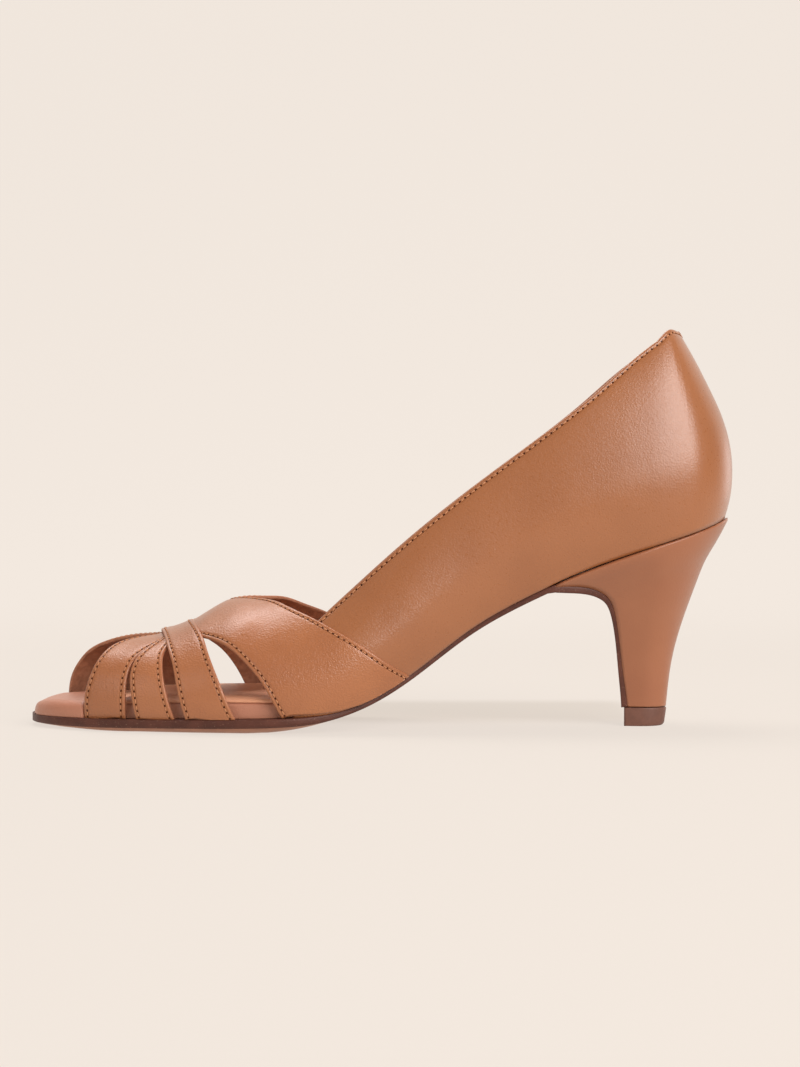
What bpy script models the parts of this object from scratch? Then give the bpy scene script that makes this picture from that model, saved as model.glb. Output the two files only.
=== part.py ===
"""Peep toe pump with a covered heel: the left shoe, at its real size.

The toe points to -X, the outer side of the foot to -Y, and up is +Z.
The origin is the centre of the shoe's footprint, on the floor.
Sizes are in millimetres and are turned into metres when a mesh is made.
Tables hold shares: of the length from the toe, of the ball width, or of the heights named below.
"""

import math

import bmesh
import bpy
import numpy as np
from mathutils import Matrix, Vector
from mathutils.geometry import delaunay_2d_cdt

MM = 0.001

# Driving dimensions
LENGTH = 233.7
BALL_WIDTH = 70.0
SEAT_HEIGHT = 69.5
COLLAR_HEIGHT = 129.2
LAST_OVER_COLLAR = 11.8
LAST_HEIGHT = COLLAR_HEIGHT + LAST_OVER_COLLAR
BELLY = 6.4
CLEARANCE = 0.3

# Wall of the upper where each piece is outermost
LINED_LEATHER = 1.6
LAPPED_LEATHER = 2.3
CROSSED_LEATHER = 3.0

# Sole, footbed and sock
TREAD = 4.5
SOLE_EDGE = 2.5
SHANK_SOLE = 2.1
SOLE_MARGIN = 3.3
SOLE_STEP = 0.8
TOE_SPRING = 1.4
FOOTBED = 5.0
SOCK = 1.8
TOE_SOCK = 0.6
EDGE_ROUNDING = 1.2

# Heel
TOP_PIECE_HEIGHT = 6.1
TIP_WIDTH = 13.2
TIP_OVERHANG = 0.1
TIP_FRONT = 1.1
TIP_ROUNDING = 1.8
HEEL_RIM = 0.8

# Tab over the back seam
TAB_WIDTH = 3.8
TAB_DROP = 2.4
TAB_LEATHER = 0.6

# Where the sections of the last start to fan around the back of the heel
HEEL_CENTRE = 0.89
# Share of the section's rise at which the belly ends
BELLY_LINE = 0.33
# Shares of the length over which the tip of the toe closes and the sole springs up
TOE_CAP = 0.015
TOE_SPRING_REACH = 0.13
# Shares of the length where the sock is thin, at the open toe, and where it has thickened
TOE_OPEN = 0.09
TOE_COVERED = 0.17
# Length of the back seam for each millimetre between the seat and the top of the last
BACK_SEAM_CURL = 1.31
# Where a heel section starts to round off to its back, from breast (0) to back (1)
HEEL_SHOULDER = 0.45
# How far the breast is turned: its inner side sits back by this share of the width
BREAST_TURN = 0.096
# Where the outsole starts to turn with it
TURN_START = 0.62
# Reach of the underside's flat middle, as the power of its fall to the edge
FLATNESS = 7

# Bottom of the last. Columns: along, height over the tread as a share of the seat's rise
FEATHER = (
    (0.00, -0.010),
    (0.10, -0.008),
    (0.20, -0.002),
    (0.37, 0.009),
    (0.43, 0.029),
    (0.48, 0.088),
    (0.54, 0.217),
    (0.62, 0.430),
    (0.70, 0.592),
    (0.78, 0.722),
    (0.87, 0.836),
    (0.94, 0.925),
    (1.00, 1.015),
)

# Ridge of the last. Columns: along, share of the last's height
RIDGE = (
    (0.000, 0.120),
    (0.050, 0.162),
    (0.100, 0.186),
    (0.145, 0.198),
    (0.190, 0.204),
    (0.225, 0.220),
    (0.260, 0.253),
    (0.295, 0.283),
    (0.330, 0.291),
    (0.370, 0.309),
    (0.420, 0.345),
    (0.480, 0.435),
    (0.560, 0.590),
    (0.650, 0.740),
    (0.740, 0.860),
    (0.820, 0.940),
    (0.890, 1.000),
)

# Outline of the last's bottom. Columns: along, half width and shift to the inner side
# as shares of the ball width
PLAN = (
    (0.00, 0.000, 0.114),
    (0.02, 0.186, 0.107),
    (0.05, 0.286, 0.093),
    (0.10, 0.371, 0.071),
    (0.15, 0.421, 0.050),
    (0.20, 0.457, 0.031),
    (0.25, 0.483, 0.014),
    (0.30, 0.497, 0.000),
    (0.35, 0.500, -0.014),
    (0.40, 0.483, -0.023),
    (0.45, 0.446, -0.029),
    (0.50, 0.400, -0.029),
    (0.55, 0.360, -0.026),
    (0.60, 0.331, -0.021),
    (0.65, 0.317, -0.017),
    (0.70, 0.317, -0.011),
    (0.75, 0.329, -0.007),
    (0.80, 0.346, -0.003),
    (0.85, 0.360, 0.000),
    (0.89, 0.364, 0.000),
)

# Section of the last. Columns: along, fullness of the arch, share of the belly
SECTION = (
    (0.00, 3.00, 0.20),
    (0.15, 3.00, 0.25),
    (0.25, 2.50, 0.30),
    (0.33, 2.20, 0.40),
    (0.40, 2.15, 0.50),
    (0.46, 2.30, 0.70),
    (0.53, 2.40, 0.90),
    (0.62, 2.45, 1.00),
    (0.72, 2.40, 1.00),
    (0.82, 2.25, 0.70),
    (0.89, 2.10, 0.45),
)

# Back curve of the heel. Columns: height between seat and top of the last, share of the seat radius
BACK_CURVE = (
    (0.000, 1.000),
    (0.113, 1.093),
    (0.222, 1.116),
    (0.290, 1.102),
    (0.393, 1.032),
    (0.490, 0.917),
    (0.578, 0.778),
    (0.674, 0.616),
    (0.762, 0.454),
    (0.831, 0.319),
    (1.000, 0.000),
)

# Cut edges of the straps and the vamp band, as places along the shoe.
# Columns: girth from the ridge (0) to the sole (1), then the edges from front to back
EDGE_NAMES = (
    "toe_front",
    "toe_back",
    "mid_front",
    "mid_back",
    "cross_front",
    "cross_back",
    "band_front",
    "band_back",
)
EDGES = (
    (0.0, 0.1900, 0.2250, 0.2350, 0.2400, 0.1880, 0.2370, 0.2220, 0.2960),
    (0.2, 0.1600, 0.2150, 0.2220, 0.2350, 0.1950, 0.2425, 0.2280, 0.3400),
    (0.4, 0.1235, 0.1880, 0.1870, 0.2150, 0.2055, 0.2542, 0.2430, 0.3820),
    (0.5, 0.1125, 0.1690, 0.1710, 0.2050, 0.2115, 0.2615, 0.2660, 0.4068),
    (0.6, 0.1043, 0.1580, 0.1618, 0.2038, 0.2185, 0.2680, 0.2935, 0.4306),
    (0.8, 0.0945, 0.1526, 0.1622, 0.2110, 0.2280, 0.2855, 0.3395, 0.4815),
    (1.0, 0.0937, 0.1523, 0.1685, 0.2225, 0.2385, 0.3060, 0.3670, 0.5360),
)
# The same edges on the inner side of the foot, where the straps run further forward
INNER_EDGES = (
    (0.2, 0.1320, 0.2010, 0.2080, 0.2210, 0.1850, 0.2335, 0.2200, 0.3450),
    (0.4, 0.0755, 0.1590, 0.1590, 0.1870, 0.1800, 0.2250, 0.2330, 0.3875),
    (0.5, 0.0605, 0.1330, 0.1330, 0.1690, 0.1765, 0.2215, 0.2425, 0.4120),
    (0.6, 0.0498, 0.1150, 0.1185, 0.1600, 0.1720, 0.2225, 0.2572, 0.4360),
    (0.8, 0.0418, 0.1027, 0.1123, 0.1570, 0.1695, 0.2330, 0.2850, 0.4885),
    (1.0, 0.0410, 0.1003, 0.1165, 0.1650, 0.1770, 0.2510, 0.3090, 0.5430),
)

# Top line of the quarters. Columns: along, share of the collar's height
COLLAR = (
    (0.395, 0.233),
    (0.45, 0.322),
    (0.53, 0.454),
    (0.62, 0.589),
    (0.72, 0.725),
    (0.80, 0.839),
    (0.87, 0.946),
    (0.92, 0.993),
    (0.97, 1.000),
    (1.06, 1.000),
)

# Sole and footbed. Columns: along, depth at the middle and at the edge as shares of tread and
# sole edge, margin outside the last as a share of the sole margin, share of the footbed's depth
SOLE = (
    (0.00, 0.55, 0.96, 0.85, 0.80),
    (0.06, 0.80, 1.00, 0.95, 0.87),
    (0.13, 1.10, 1.00, 1.00, 0.94),
    (0.20, 1.12, 1.00, 1.00, 1.00),
    (0.33, 1.18, 1.00, 1.00, 1.00),
    (0.385, 0.95, 0.98, 0.90, 0.92),
    (0.42, 0.66, 0.92, 0.60, 0.80),
    (0.45, 0.49, 0.85, 0.30, 0.66),
    (0.50, 0.47, 0.84, -0.10, 0.55),
    (0.60, 0.47, 0.84, -0.25, 0.50),
    (0.74, 0.47, 0.84, 0.20, 0.50),
)

# Heel from the seat down to its tip. Columns: front along, front height, back along, back height,
# width, thickness of the sole flap in front. Heights are shares of the rise from tip to seat,
# and widths are shares of what the seat is wider than the tip
HEEL = (
    (0.7409, 0.6434, 0.9945, 0.992, 1.000, 1.00),
    (0.7610, 0.6400, 0.9904, 0.954, 0.955, 0.98),
    (0.7867, 0.6310, 0.9831, 0.900, 0.870, 0.94),
    (0.8081, 0.6030, 0.9728, 0.834, 0.760, 0.84),
    (0.8222, 0.5530, 0.9608, 0.754, 0.629, 0.68),
    (0.8303, 0.4640, 0.9476, 0.628, 0.465, 0.50),
    (0.8368, 0.3344, 0.9300, 0.445, 0.254, 0.46),
    (0.8423, 0.1918, 0.9156, 0.247, 0.103, 0.55),
    (0.8475, 0.0697, 0.9093, 0.081, 0.028, 0.72),
    (0.8500, 0.0000, 0.9070, 0.000, 0.000, 0.84),
)

# Mesh fineness
CELL = 5.5
EDGE_STEPS = 15
SEAT_STEPS = 12
GIRTH_SCALE = 70.0
FAN_STEPS = 9

# Colours
TAN = (0.455, 0.190, 0.095)
SOLE_BROWN = (0.120, 0.055, 0.035)
TIP_BROWN = (0.150, 0.075, 0.055)


def clear_scene():
    for old in list(bpy.data.objects):
        bpy.data.objects.remove(old, do_unlink=True)


def smooth_curve(table, column=1, stretch=None):
    """A smooth function through one column of a table, over its first column."""
    rows = np.array(table, float)
    xs = rows[:, 0] if stretch is None else stretch(rows[:, 0])
    ys = rows[:, column]
    gaps = np.diff(xs)
    count = len(xs)
    system = np.eye(count)
    right = np.zeros(count)
    for i in range(1, count - 1):
        system[i, i - 1 : i + 2] = gaps[i - 1], 2 * (gaps[i - 1] + gaps[i]), gaps[i]
        right[i] = 6 * ((ys[i + 1] - ys[i]) / gaps[i] - (ys[i] - ys[i - 1]) / gaps[i - 1])
    bend = np.linalg.solve(system, right)

    def value(x):
        x = np.clip(x if stretch is None else stretch(x), xs[0], xs[-1])
        i = np.clip(np.searchsorted(xs, x) - 1, 0, count - 2)
        before = x - xs[i]
        after = xs[i + 1] - x
        curved = (bend[i] * after**3 + bend[i + 1] * before**3) / (6 * gaps[i])
        left = (ys[i] / gaps[i] - bend[i] * gaps[i] / 6) * after
        right_part = (ys[i + 1] / gaps[i] - bend[i + 1] * gaps[i] / 6) * before
        return curved + left + right_part

    return value


feather_share = smooth_curve(FEATHER)
ridge_share = smooth_curve(RIDGE)
half_share = smooth_curve(PLAN, 1, np.sqrt)
shift_share = smooth_curve(PLAN, 2)
fullness = smooth_curve(SECTION, 1)
belly_share = smooth_curve(SECTION, 2)
back_share = smooth_curve(BACK_CURVE)
collar_share = smooth_curve(COLLAR)

FULLEST_BACK = max(row[1] for row in BACK_CURVE)
SEAT_RADIUS = ((1 - HEEL_CENTRE) * LENGTH - LINED_LEATHER) / FULLEST_BACK
FAN_LENGTH = 0.25 * math.pi * (SEAT_RADIUS + half_share(HEEL_CENTRE) * BALL_WIDTH) / LENGTH
BACK_SEAM = HEEL_CENTRE + FAN_LENGTH


def place(along):
    """The X of a share of the length from the toe."""
    return (along - 0.5) * LENGTH


def feather_height(along):
    return TREAD + (SEAT_HEIGHT - TREAD) * feather_share(along)


def fan_angle(along):
    return np.clip((along - HEEL_CENTRE) / FAN_LENGTH, 0, 1) * math.pi / 2


def arch(along, girth):
    """Rise and spread of the last's section, each 0 to 1, at a girth from ridge (0) to sole (1)."""
    turn = (1 - np.abs(girth)) * math.pi / 2
    power = fullness(np.minimum(along, HEEL_CENTRE))
    up = np.abs(np.sin(turn))
    out = np.abs(np.cos(turn))
    reach = (up**power + out**power) ** (-1 / power)
    return up * reach, out * reach


def last_surface(along, girth):
    """A point of the last, in millimetres. The girth is -1 at the outer and +1 at the inner feather."""
    along = np.asarray(along, float)
    girth = np.asarray(girth, float)
    section = np.minimum(along, HEEL_CENTRE)
    turn = fan_angle(along)
    rise, spread = arch(along, girth)
    to_belly = np.minimum(rise / BELLY_LINE, 1)
    bulge = BELLY * belly_share(section) * (1 - (1 - to_belly) ** 2)
    side = (half_share(section) * BALL_WIDTH + bulge) * spread
    back = SEAT_RADIUS * back_share(rise)
    foot = feather_height(section + SEAT_RADIUS * np.sin(turn) / LENGTH)
    x = place(section) + back * np.sin(turn)
    y = shift_share(section) * BALL_WIDTH + np.sign(girth) * side * np.cos(turn)
    z = foot + (LAST_HEIGHT * ridge_share(section) - foot) * rise
    return np.stack([x, y, z], -1)


def lift_direction(along, girth):
    """The outward direction of the wall, turned level near the sole so that its foot stays even."""
    step = 1e-4
    ahead = last_surface(along + step, girth) - last_surface(along - step, girth)
    across = last_surface(along, girth + step) - last_surface(along, girth - step)
    outward = np.cross(ahead, across)
    level = np.clip((1 - np.abs(girth)) / 0.12, 0, 1)
    outward[..., 2] *= level * level * (3 - 2 * level)
    return outward / np.linalg.norm(outward, axis=-1, keepdims=True)


def wall_point(along, girth, lift):
    """A point of the wall at a lift above the last."""
    along = np.asarray(along, float)
    # The two ends of the map have no neighbour on one side
    inside_along = np.clip(along, 0.002, BACK_SEAM - 2e-4)
    inside_girth = np.clip(girth, -0.9995, 0.9995)
    direction = lift_direction(inside_along, inside_girth)
    centred = along > BACK_SEAM - 1e-6
    direction[..., 1] = np.where(centred, 0.0, direction[..., 1])
    base = last_surface(along, girth)
    base[..., 1] = np.where(centred, shift_share(HEEL_CENTRE) * BALL_WIDTH, base[..., 1])
    base[..., 2] += CLEARANCE
    return base + direction * np.asarray(lift, float)[..., None]


def edge_table(name):
    """One edge from the outer feather (-1) over the ridge to the inner feather (+1)."""
    column = EDGE_NAMES.index(name) + 1
    outer = [(-row[0], row[column]) for row in reversed(EDGES)]
    return outer + [(row[0], row[column]) for row in INNER_EDGES]


edge_curves = {name: smooth_curve(edge_table(name)) for name in EDGE_NAMES}


def edge_place(name, girth):
    """Where an edge crosses a girth."""
    return edge_curves[name](np.asarray(girth, float))


def collar_girth(along):
    """The girth at which the last reaches the collar's height, on either side."""
    section = np.minimum(along, HEEL_CENTRE)
    foot = feather_height(section + SEAT_RADIUS * np.sin(fan_angle(along)) / LENGTH)
    top = LAST_HEIGHT * ridge_share(section)
    rise = (COLLAR_HEIGHT * collar_share(along) - foot) / (top - foot)
    power = fullness(section)
    spread = (1 - rise**power) ** (1 / power)
    return 1 - np.arctan2(rise, spread) * 2 / math.pi


def pattern_edges():
    """Each edge as points on the flat map of the last: (along, girth), from outer to inner feather."""
    girths = np.linspace(-1, 1, 2 * EDGE_STEPS + 1)
    return {name: np.stack([edge_place(name, girths), girths], axis=1) for name in EDGE_NAMES}


def collar_line():
    """The top line of a quarter on the flat map, from under the vamp band to the back seam."""
    side = np.linspace(COLLAR[0][0], HEEL_CENTRE, 22)
    round_back = np.linspace(HEEL_CENTRE, BACK_SEAM, FAN_STEPS)[1:]
    stations = np.concatenate([side, round_back])
    return np.stack([stations, collar_girth(stations)], axis=1)


def wall_thickness(along, girth, edges, collar):
    """The wall at a place on the map: 0 where the upper is cut away."""

    def edge(name):
        return np.interp(girth, edges[name][:, 1], edges[name][:, 0])

    def within(front, back):
        return edge(front) <= along <= edge(back)

    if within("cross_front", "cross_back"):
        return CROSSED_LEATHER
    if within("mid_front", "mid_back") or within("band_front", "band_back"):
        return LAPPED_LEATHER
    if within("toe_front", "toe_back"):
        return LINED_LEATHER
    behind_band = along > edge("band_back")
    if behind_band and abs(girth) > np.interp(along, collar[:, 0], collar[:, 1]):
        return LINED_LEATHER
    return 0.0


def pattern_lines(edges, collar):
    """Every line that the flat map is cut along."""
    lines = list(edges.values())
    for side in (-1, 1):
        lines.append(collar * (1, side))
        feet = np.concatenate(
            [
                np.arange(0.03, HEEL_CENTRE, CELL / LENGTH),
                np.linspace(HEEL_CENTRE, BACK_SEAM, FAN_STEPS),
            ]
        )
        lines.append(np.stack([feet, np.full(len(feet), side)], axis=1))
        seam = np.linspace(collar[-1, 1], 1, SEAT_STEPS)
        lines.append(np.stack([np.full(len(seam), BACK_SEAM), side * seam], axis=1))
    return lines


def flat_map():
    """Triangles over the last's map, cut along every pattern line, with their wall thickness."""
    points = []
    links = []
    edges = pattern_edges()
    collar = collar_line()
    for line in pattern_lines(edges, collar):
        first = len(points)
        points += [(float(s), float(g)) for s, g in line]
        links += [(i, i + 1) for i in range(first, len(points) - 1)]
    for s in np.arange(0.045, BACK_SEAM - 0.5 * CELL / LENGTH, CELL / LENGTH):
        for g in np.linspace(-0.95, 0.95, 27):
            points.append((float(s), float(g)))
    flat = [Vector((s * LENGTH, g * GIRTH_SCALE)) for s, g in points]
    corners, _, faces, *_ = delaunay_2d_cdt(flat, links, [], 0, 1e-4)
    places = np.array([(c[0] / LENGTH, c[1] / GIRTH_SCALE) for c in corners])
    kept = []
    for face in faces:
        middle = places[list(face)].mean(axis=0)
        if abs(middle[1]) > 1 or middle[0] > BACK_SEAM:
            continue
        thick = wall_thickness(middle[0], middle[1], edges, collar)
        if thick:
            kept.append((tuple(face), thick))
    return places, kept


def walls_between(kept, levels, at_seam):
    """The upright faces where the wall steps or ends, as rings of (corner, level)."""
    sides = {}
    for face, thick in kept:
        for a, b in zip(face, face[1:] + face[:1]):
            sides.setdefault((min(a, b), max(a, b)), []).append((a, b, thick))
    for owners in sides.values():
        a, b, high = max(owners, key=lambda owner: owner[2])
        # The two halves of the map meet at the back seam, with no wall between them
        if at_seam[a] and at_seam[b]:
            continue
        low = min(owner[2] for owner in owners) if len(owners) > 1 else 0.0
        if high == low:
            continue
        rise_a = [(a, level) for level in sorted(levels[a]) if low <= level <= high]
        rise_b = [(b, level) for level in sorted(levels[b]) if low <= level <= high]
        yield rise_a[::-1] + rise_b


def new_object(name, points, faces, material, sharp=35.0):
    """One closed mesh object from points in millimetres."""
    mesh = bpy.data.meshes.new(name)
    work = bmesh.new()
    corners = [work.verts.new(Vector(p) * MM) for p in points]
    for face in faces:
        if len(set(face)) > 2:
            work.faces.new([corners[i] for i in face])
    bmesh.ops.remove_doubles(work, verts=work.verts, dist=1e-6)
    bmesh.ops.triangulate(work, faces=work.faces)
    bmesh.ops.recalc_face_normals(work, faces=work.faces)
    if work.calc_volume(signed=True) < 0:
        bmesh.ops.reverse_faces(work, faces=work.faces)
    work.to_mesh(mesh)
    work.free()
    mesh.shade_smooth()
    mesh.set_sharp_from_angle(angle=math.radians(sharp))
    mesh.materials.append(material)
    shoe_part = bpy.data.objects.new(name, mesh)
    bpy.context.collection.objects.link(shoe_part)
    return shoe_part


def finish(name, colour, roughness, coat=0.0):
    material = bpy.data.materials.new(name)
    material.use_nodes = True
    shader = material.node_tree.nodes["Principled BSDF"]
    shader.inputs["Base Color"].default_value = (*colour, 1.0)
    shader.inputs["Roughness"].default_value = roughness
    shader.inputs["Metallic"].default_value = 0.0
    shader.inputs["Coat Weight"].default_value = coat
    return material


def loft(name, rings, material, cap):
    """A closed solid through rings of equal length. The cap's faces close the first and last ring."""
    count = len(rings[0])
    points = [p for ring in rings for p in ring]
    faces = []
    for first in range(0, len(points) - count, count):
        for i in range(count):
            j = (i + 1) % count
            faces.append((first + i, first + j, first + count + j, first + count + i))
    for first in (0, len(points) - count):
        faces += [tuple(first + i for i in face) for face in cap]
    return new_object(name, points, faces, material)


def paired_cap(ring):
    """Strips across a ring whose point i lies opposite its last point but i."""
    last = len(ring) - 1
    return [(i, i + 1, last - 1 - i, last - i) for i in range(len(ring) // 2 - 1)]


def outline(along, side, margin):
    """Half width of the last's bottom on one side (-1 outer, +1 inner), as a signed Y."""
    section = min(along, HEEL_CENTRE)
    half = half_share(section) * BALL_WIDTH + margin
    return shift_share(section) * BALL_WIDTH + side * max(float(half), 0.2) * math.cos(fan_angle(along))


def bottom_place(along, margin):
    """X on the last's bottom, carried round the back of the heel."""
    section = min(along, HEEL_CENTRE)
    return place(section) + (SEAT_RADIUS + margin) * math.sin(fan_angle(along))


def make_upper(material):
    places, kept = flat_map()
    levels = {}
    for face, thick in kept:
        for corner in face:
            levels.setdefault(corner, {0.0}).add(thick)
    index = {}
    along = []
    girth = []
    lifts = []
    for corner in sorted(levels):
        for level in sorted(levels[corner]):
            index[corner, level] = len(lifts)
            along.append(places[corner, 0])
            girth.append(places[corner, 1])
            lifts.append(level)
    points = wall_point(np.array(along), np.array(girth), np.array(lifts))
    faces = []
    for face, thick in kept:
        faces.append([index[corner, thick] for corner in face])
        faces.append([index[corner, 0.0] for corner in reversed(face)])
    at_seam = places[:, 0] > BACK_SEAM - 1e-6
    for ring in walls_between(kept, levels, at_seam):
        faces.append([index[step] for step in ring])
    return new_object("upper", points, faces, material)


def make_back_tab(material):
    """A folded tab that sits astride the collar at the back seam."""
    top = float(collar_girth(BACK_SEAM))
    foot = top + TAB_DROP / (BACK_SEAM_CURL * (LAST_HEIGHT - SEAT_HEIGHT))
    width_at_top = float(half_share(HEEL_CENTRE) * BALL_WIDTH * arch(BACK_SEAM, top)[1])
    inside = -CLEARANCE
    outside = LINED_LEATHER + CLEARANCE
    chamfer = 0.3 * TAB_LEATHER
    # The fold's section. Columns: at the tab's foot or at the collar, lift, rise over the collar
    fold = (
        (foot, outside, 0.0),
        (top, outside, CLEARANCE),
        (top, inside, CLEARANCE),
        (foot, inside, 0.0),
        (foot, inside - TAB_LEATHER, 0.0),
        (top, inside - TAB_LEATHER, chamfer),
        (top, inside - chamfer, CLEARANCE + TAB_LEATHER),
        (top, outside + chamfer, CLEARANCE + TAB_LEATHER),
        (top, outside + TAB_LEATHER, chamfer),
        (foot, outside + TAB_LEATHER, 0.0),
    )
    cap = ((0, 1, 8, 9), (1, 7, 8), (1, 2, 6, 7), (2, 5, 6), (2, 3, 4, 5))
    rings = []
    for side, reach in ((-1, 1.0), (-1, 0.5), (1, 0.0), (1, 0.5), (1, 1.0)):
        turn_back = math.asin(0.5 * TAB_WIDTH * reach / width_at_top)
        station = BACK_SEAM - FAN_LENGTH * turn_back / (math.pi / 2)
        climb = wall_point(station, side * top, 0.0) - wall_point(station, side * foot, 0.0)
        climb /= np.linalg.norm(climb)
        rings.append(
            [wall_point(station, side * girth, lift) + climb * rise for girth, lift, rise in fold]
        )
    return loft("back_tab", rings, material, cap)


def sole_stations():
    """The line under the last and down the heel's breast.

    Each station holds its point (x, z), half widths outward and inward, depth at the middle
    and at the edge.
    """
    middle = smooth_curve(SOLE, 1)
    edge = smooth_curve(SOLE, 2)
    margin = smooth_curve(SOLE, 3)
    breast = HEEL[0][0]
    near_toe = [0.0006, 0.004, 0.012, 0.025, 0.042, 0.062, 0.085, 0.11]
    stations = []
    for along in near_toe + list(np.linspace(0.14, breast - 0.012, 30)):
        # The margin closes round the tip of the toe
        out = float(margin(along)) * SOLE_MARGIN * min(1.0, math.sqrt(along / TOE_CAP))
        point = (place(along), feather_height(along))
        reach = outline(along, -1, out), outline(along, 1, out)
        stations.append((point, reach, float(middle(along)) * TREAD, float(edge(along)) * SOLE_EDGE))
    for front, height, _, _, width, flap in HEEL:
        point = (place(front), tip_rise(height))
        half = heel_half_width(width) * front_fullness(width)
        depth = flap * SHANK_SOLE
        stations.append((point, (-half, half), depth, depth))
    return stations


def tip_rise(share):
    """A height on the heel, between its tip and the seat."""
    low = TOP_PIECE_HEIGHT + CLEARANCE
    return low + (SEAT_HEIGHT - low) * share


def heel_half_width(share):
    seat = half_share(HEEL_CENTRE) * BALL_WIDTH + LINED_LEATHER + HEEL_RIM
    return 0.5 * TIP_WIDTH + (seat - 0.5 * TIP_WIDTH) * share


def front_fullness(share):
    """How wide the heel is at its breast, as a share of its widest."""
    return 0.86 + 0.02 * share


def breast_turn(x):
    """How far a section is turned at an X: not at all up to the arch, and fully at the breast."""
    start = place(TURN_START)
    way = np.clip((x - start) / (place(HEEL[0][0]) - start), 0, 1)
    return BREAST_TURN * way * way * (3 - 2 * way)


def make_outsole(material):
    stations = sole_stations()
    line = np.array([station[0] for station in stations])
    ahead = np.gradient(line, axis=0)
    ahead /= np.linalg.norm(ahead, axis=1, keepdims=True)
    under = np.stack([ahead[:, 1], -ahead[:, 0]], axis=1)
    across = (-1.0, -0.5, 0.0, 0.5, 1.0)
    belly = (0.97, 0.84, 0.6, 0.3, 0.0, -0.3, -0.6, -0.84, -0.97)
    rings = []
    spring_length = TOE_SPRING_REACH * LENGTH
    for (point, reach, middle, edge), down in zip(stations, under):
        on_flap = point[0] >= place(HEEL[0][0]) - 1e-6
        on_bottom = point[1] >= tip_rise(HEEL[0][1]) - 1e-6 or not on_flap

        def spot(u, depth):
            y = 0.5 * (reach[0] + reach[1]) + 0.5 * (reach[1] - reach[0]) * u
            sink = depth + (CLEARANCE if on_flap else 0.0)
            turned = breast_turn(point[0]) * (y - reach[0])
            x = point[0] + down[0] * sink + turned
            z = point[1] + down[1] * sink
            if on_bottom:
                along = point[0] / LENGTH + 0.5
                z += feather_height(along + turned / LENGTH) - feather_height(along)
            spring = TOE_SPRING * max(0.0, 1 - (x - place(0)) / spring_length) ** 1.5
            return (x, y, max(z, spring))

        ring = [spot(u, 0.0) for u in across]
        ring.append(spot(1.0, 0.75 * edge))
        for u in belly:
            ring.append(spot(u, edge + (middle - edge) * (1 - abs(u) ** FLATNESS)))
        ring.append(spot(-1.0, 0.75 * edge))
        rings.append(ring)
    return loft("outsole", rings, material, [tuple(range(len(rings[0])))])


def bed_stations():
    near_toe = [0.0006, 0.004, 0.012, 0.022, 0.032, 0.042, 0.055, 0.068, 0.081, 0.094, 0.107]
    body = list(np.linspace(0.13, HEEL_CENTRE, 34))
    fan = list(np.linspace(HEEL_CENTRE, BACK_SEAM - 0.04 * FAN_LENGTH, FAN_STEPS)[1:])
    return near_toe + body + fan


def bed_margin(along, side):
    """How far the footbed reaches past the last: out over the sole at the open toe, in behind it."""
    edge = float(edge_place("toe_front", side))
    before = np.clip((edge - 0.004 - along) / 0.018, 0, 1)
    ease = float(before * before * (3 - 2 * before))
    proud = (SOLE_MARGIN - SOLE_STEP) * min(1.0, math.sqrt(along / TOE_CAP))
    return -CLEARANCE + (proud + CLEARANCE) * ease


def bed_ring(along, low, high, inset, cup):
    """A flat bottomed section with rounded shoulders, from a low to a high level over the feather."""
    foot = feather_height(min(along, HEEL_CENTRE) + SEAT_RADIUS * math.sin(fan_angle(along)) / LENGTH)
    rounding = min(EDGE_ROUNDING, 0.8 * (high - low))
    outer = outline(along, -1, bed_margin(along, -1) - inset)
    inner = outline(along, 1, bed_margin(along, 1) - inset)
    middle = 0.5 * (outer + inner)
    half = 0.5 * (inner - outer)
    x = bottom_place(along, -CLEARANCE - inset)
    x += (SOLE_STEP + inset) * max(0.0, 1 - along / TOE_CAP)
    section = (
        (0.5 * half, low),
        (half, low),
        (half, high - rounding),
        (max(half - 0.3 * rounding, 0.9 * half), high - 0.3 * rounding),
        (max(half - rounding, 0.7 * half), high),
        (0.55 * half, high - 0.6 * cup),
        (0.2 * half, high - cup),
    )
    ring = [(x, middle - reach, foot + level) for reach, level in section]
    return ring + [(x, middle + reach, foot + level) for reach, level in reversed(section)]


def under_straps(along):
    """0 at the open toe and 1 from the first strap on, where the sock has its full thickness."""
    way = np.clip((along - TOE_OPEN) / (TOE_COVERED - TOE_OPEN), 0, 1)
    return float(way * way * (3 - 2 * way))


def make_footbed(material):
    depth = smooth_curve(SOLE, 4)
    rings = []
    for along in bed_stations():
        thick = float(depth(min(along, HEEL_CENTRE))) * FOOTBED
        rings.append(bed_ring(along, CLEARANCE, thick, 0.0, 0.0))
    return loft("footbed", rings, material, paired_cap(rings[0]))


def make_sock(material):
    depth = smooth_curve(SOLE, 4)
    rings = []
    for along in bed_stations():
        thick = float(depth(min(along, HEEL_CENTRE))) * FOOTBED
        low = thick + CLEARANCE
        full = under_straps(along)
        high = low + TOE_SOCK + (SOCK - TOE_SOCK) * full
        rings.append(bed_ring(along, low, high, 1.6 - 1.2 * full, 0.5 * full))
    return loft("sock", rings, material, paired_cap(rings[0]))


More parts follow.
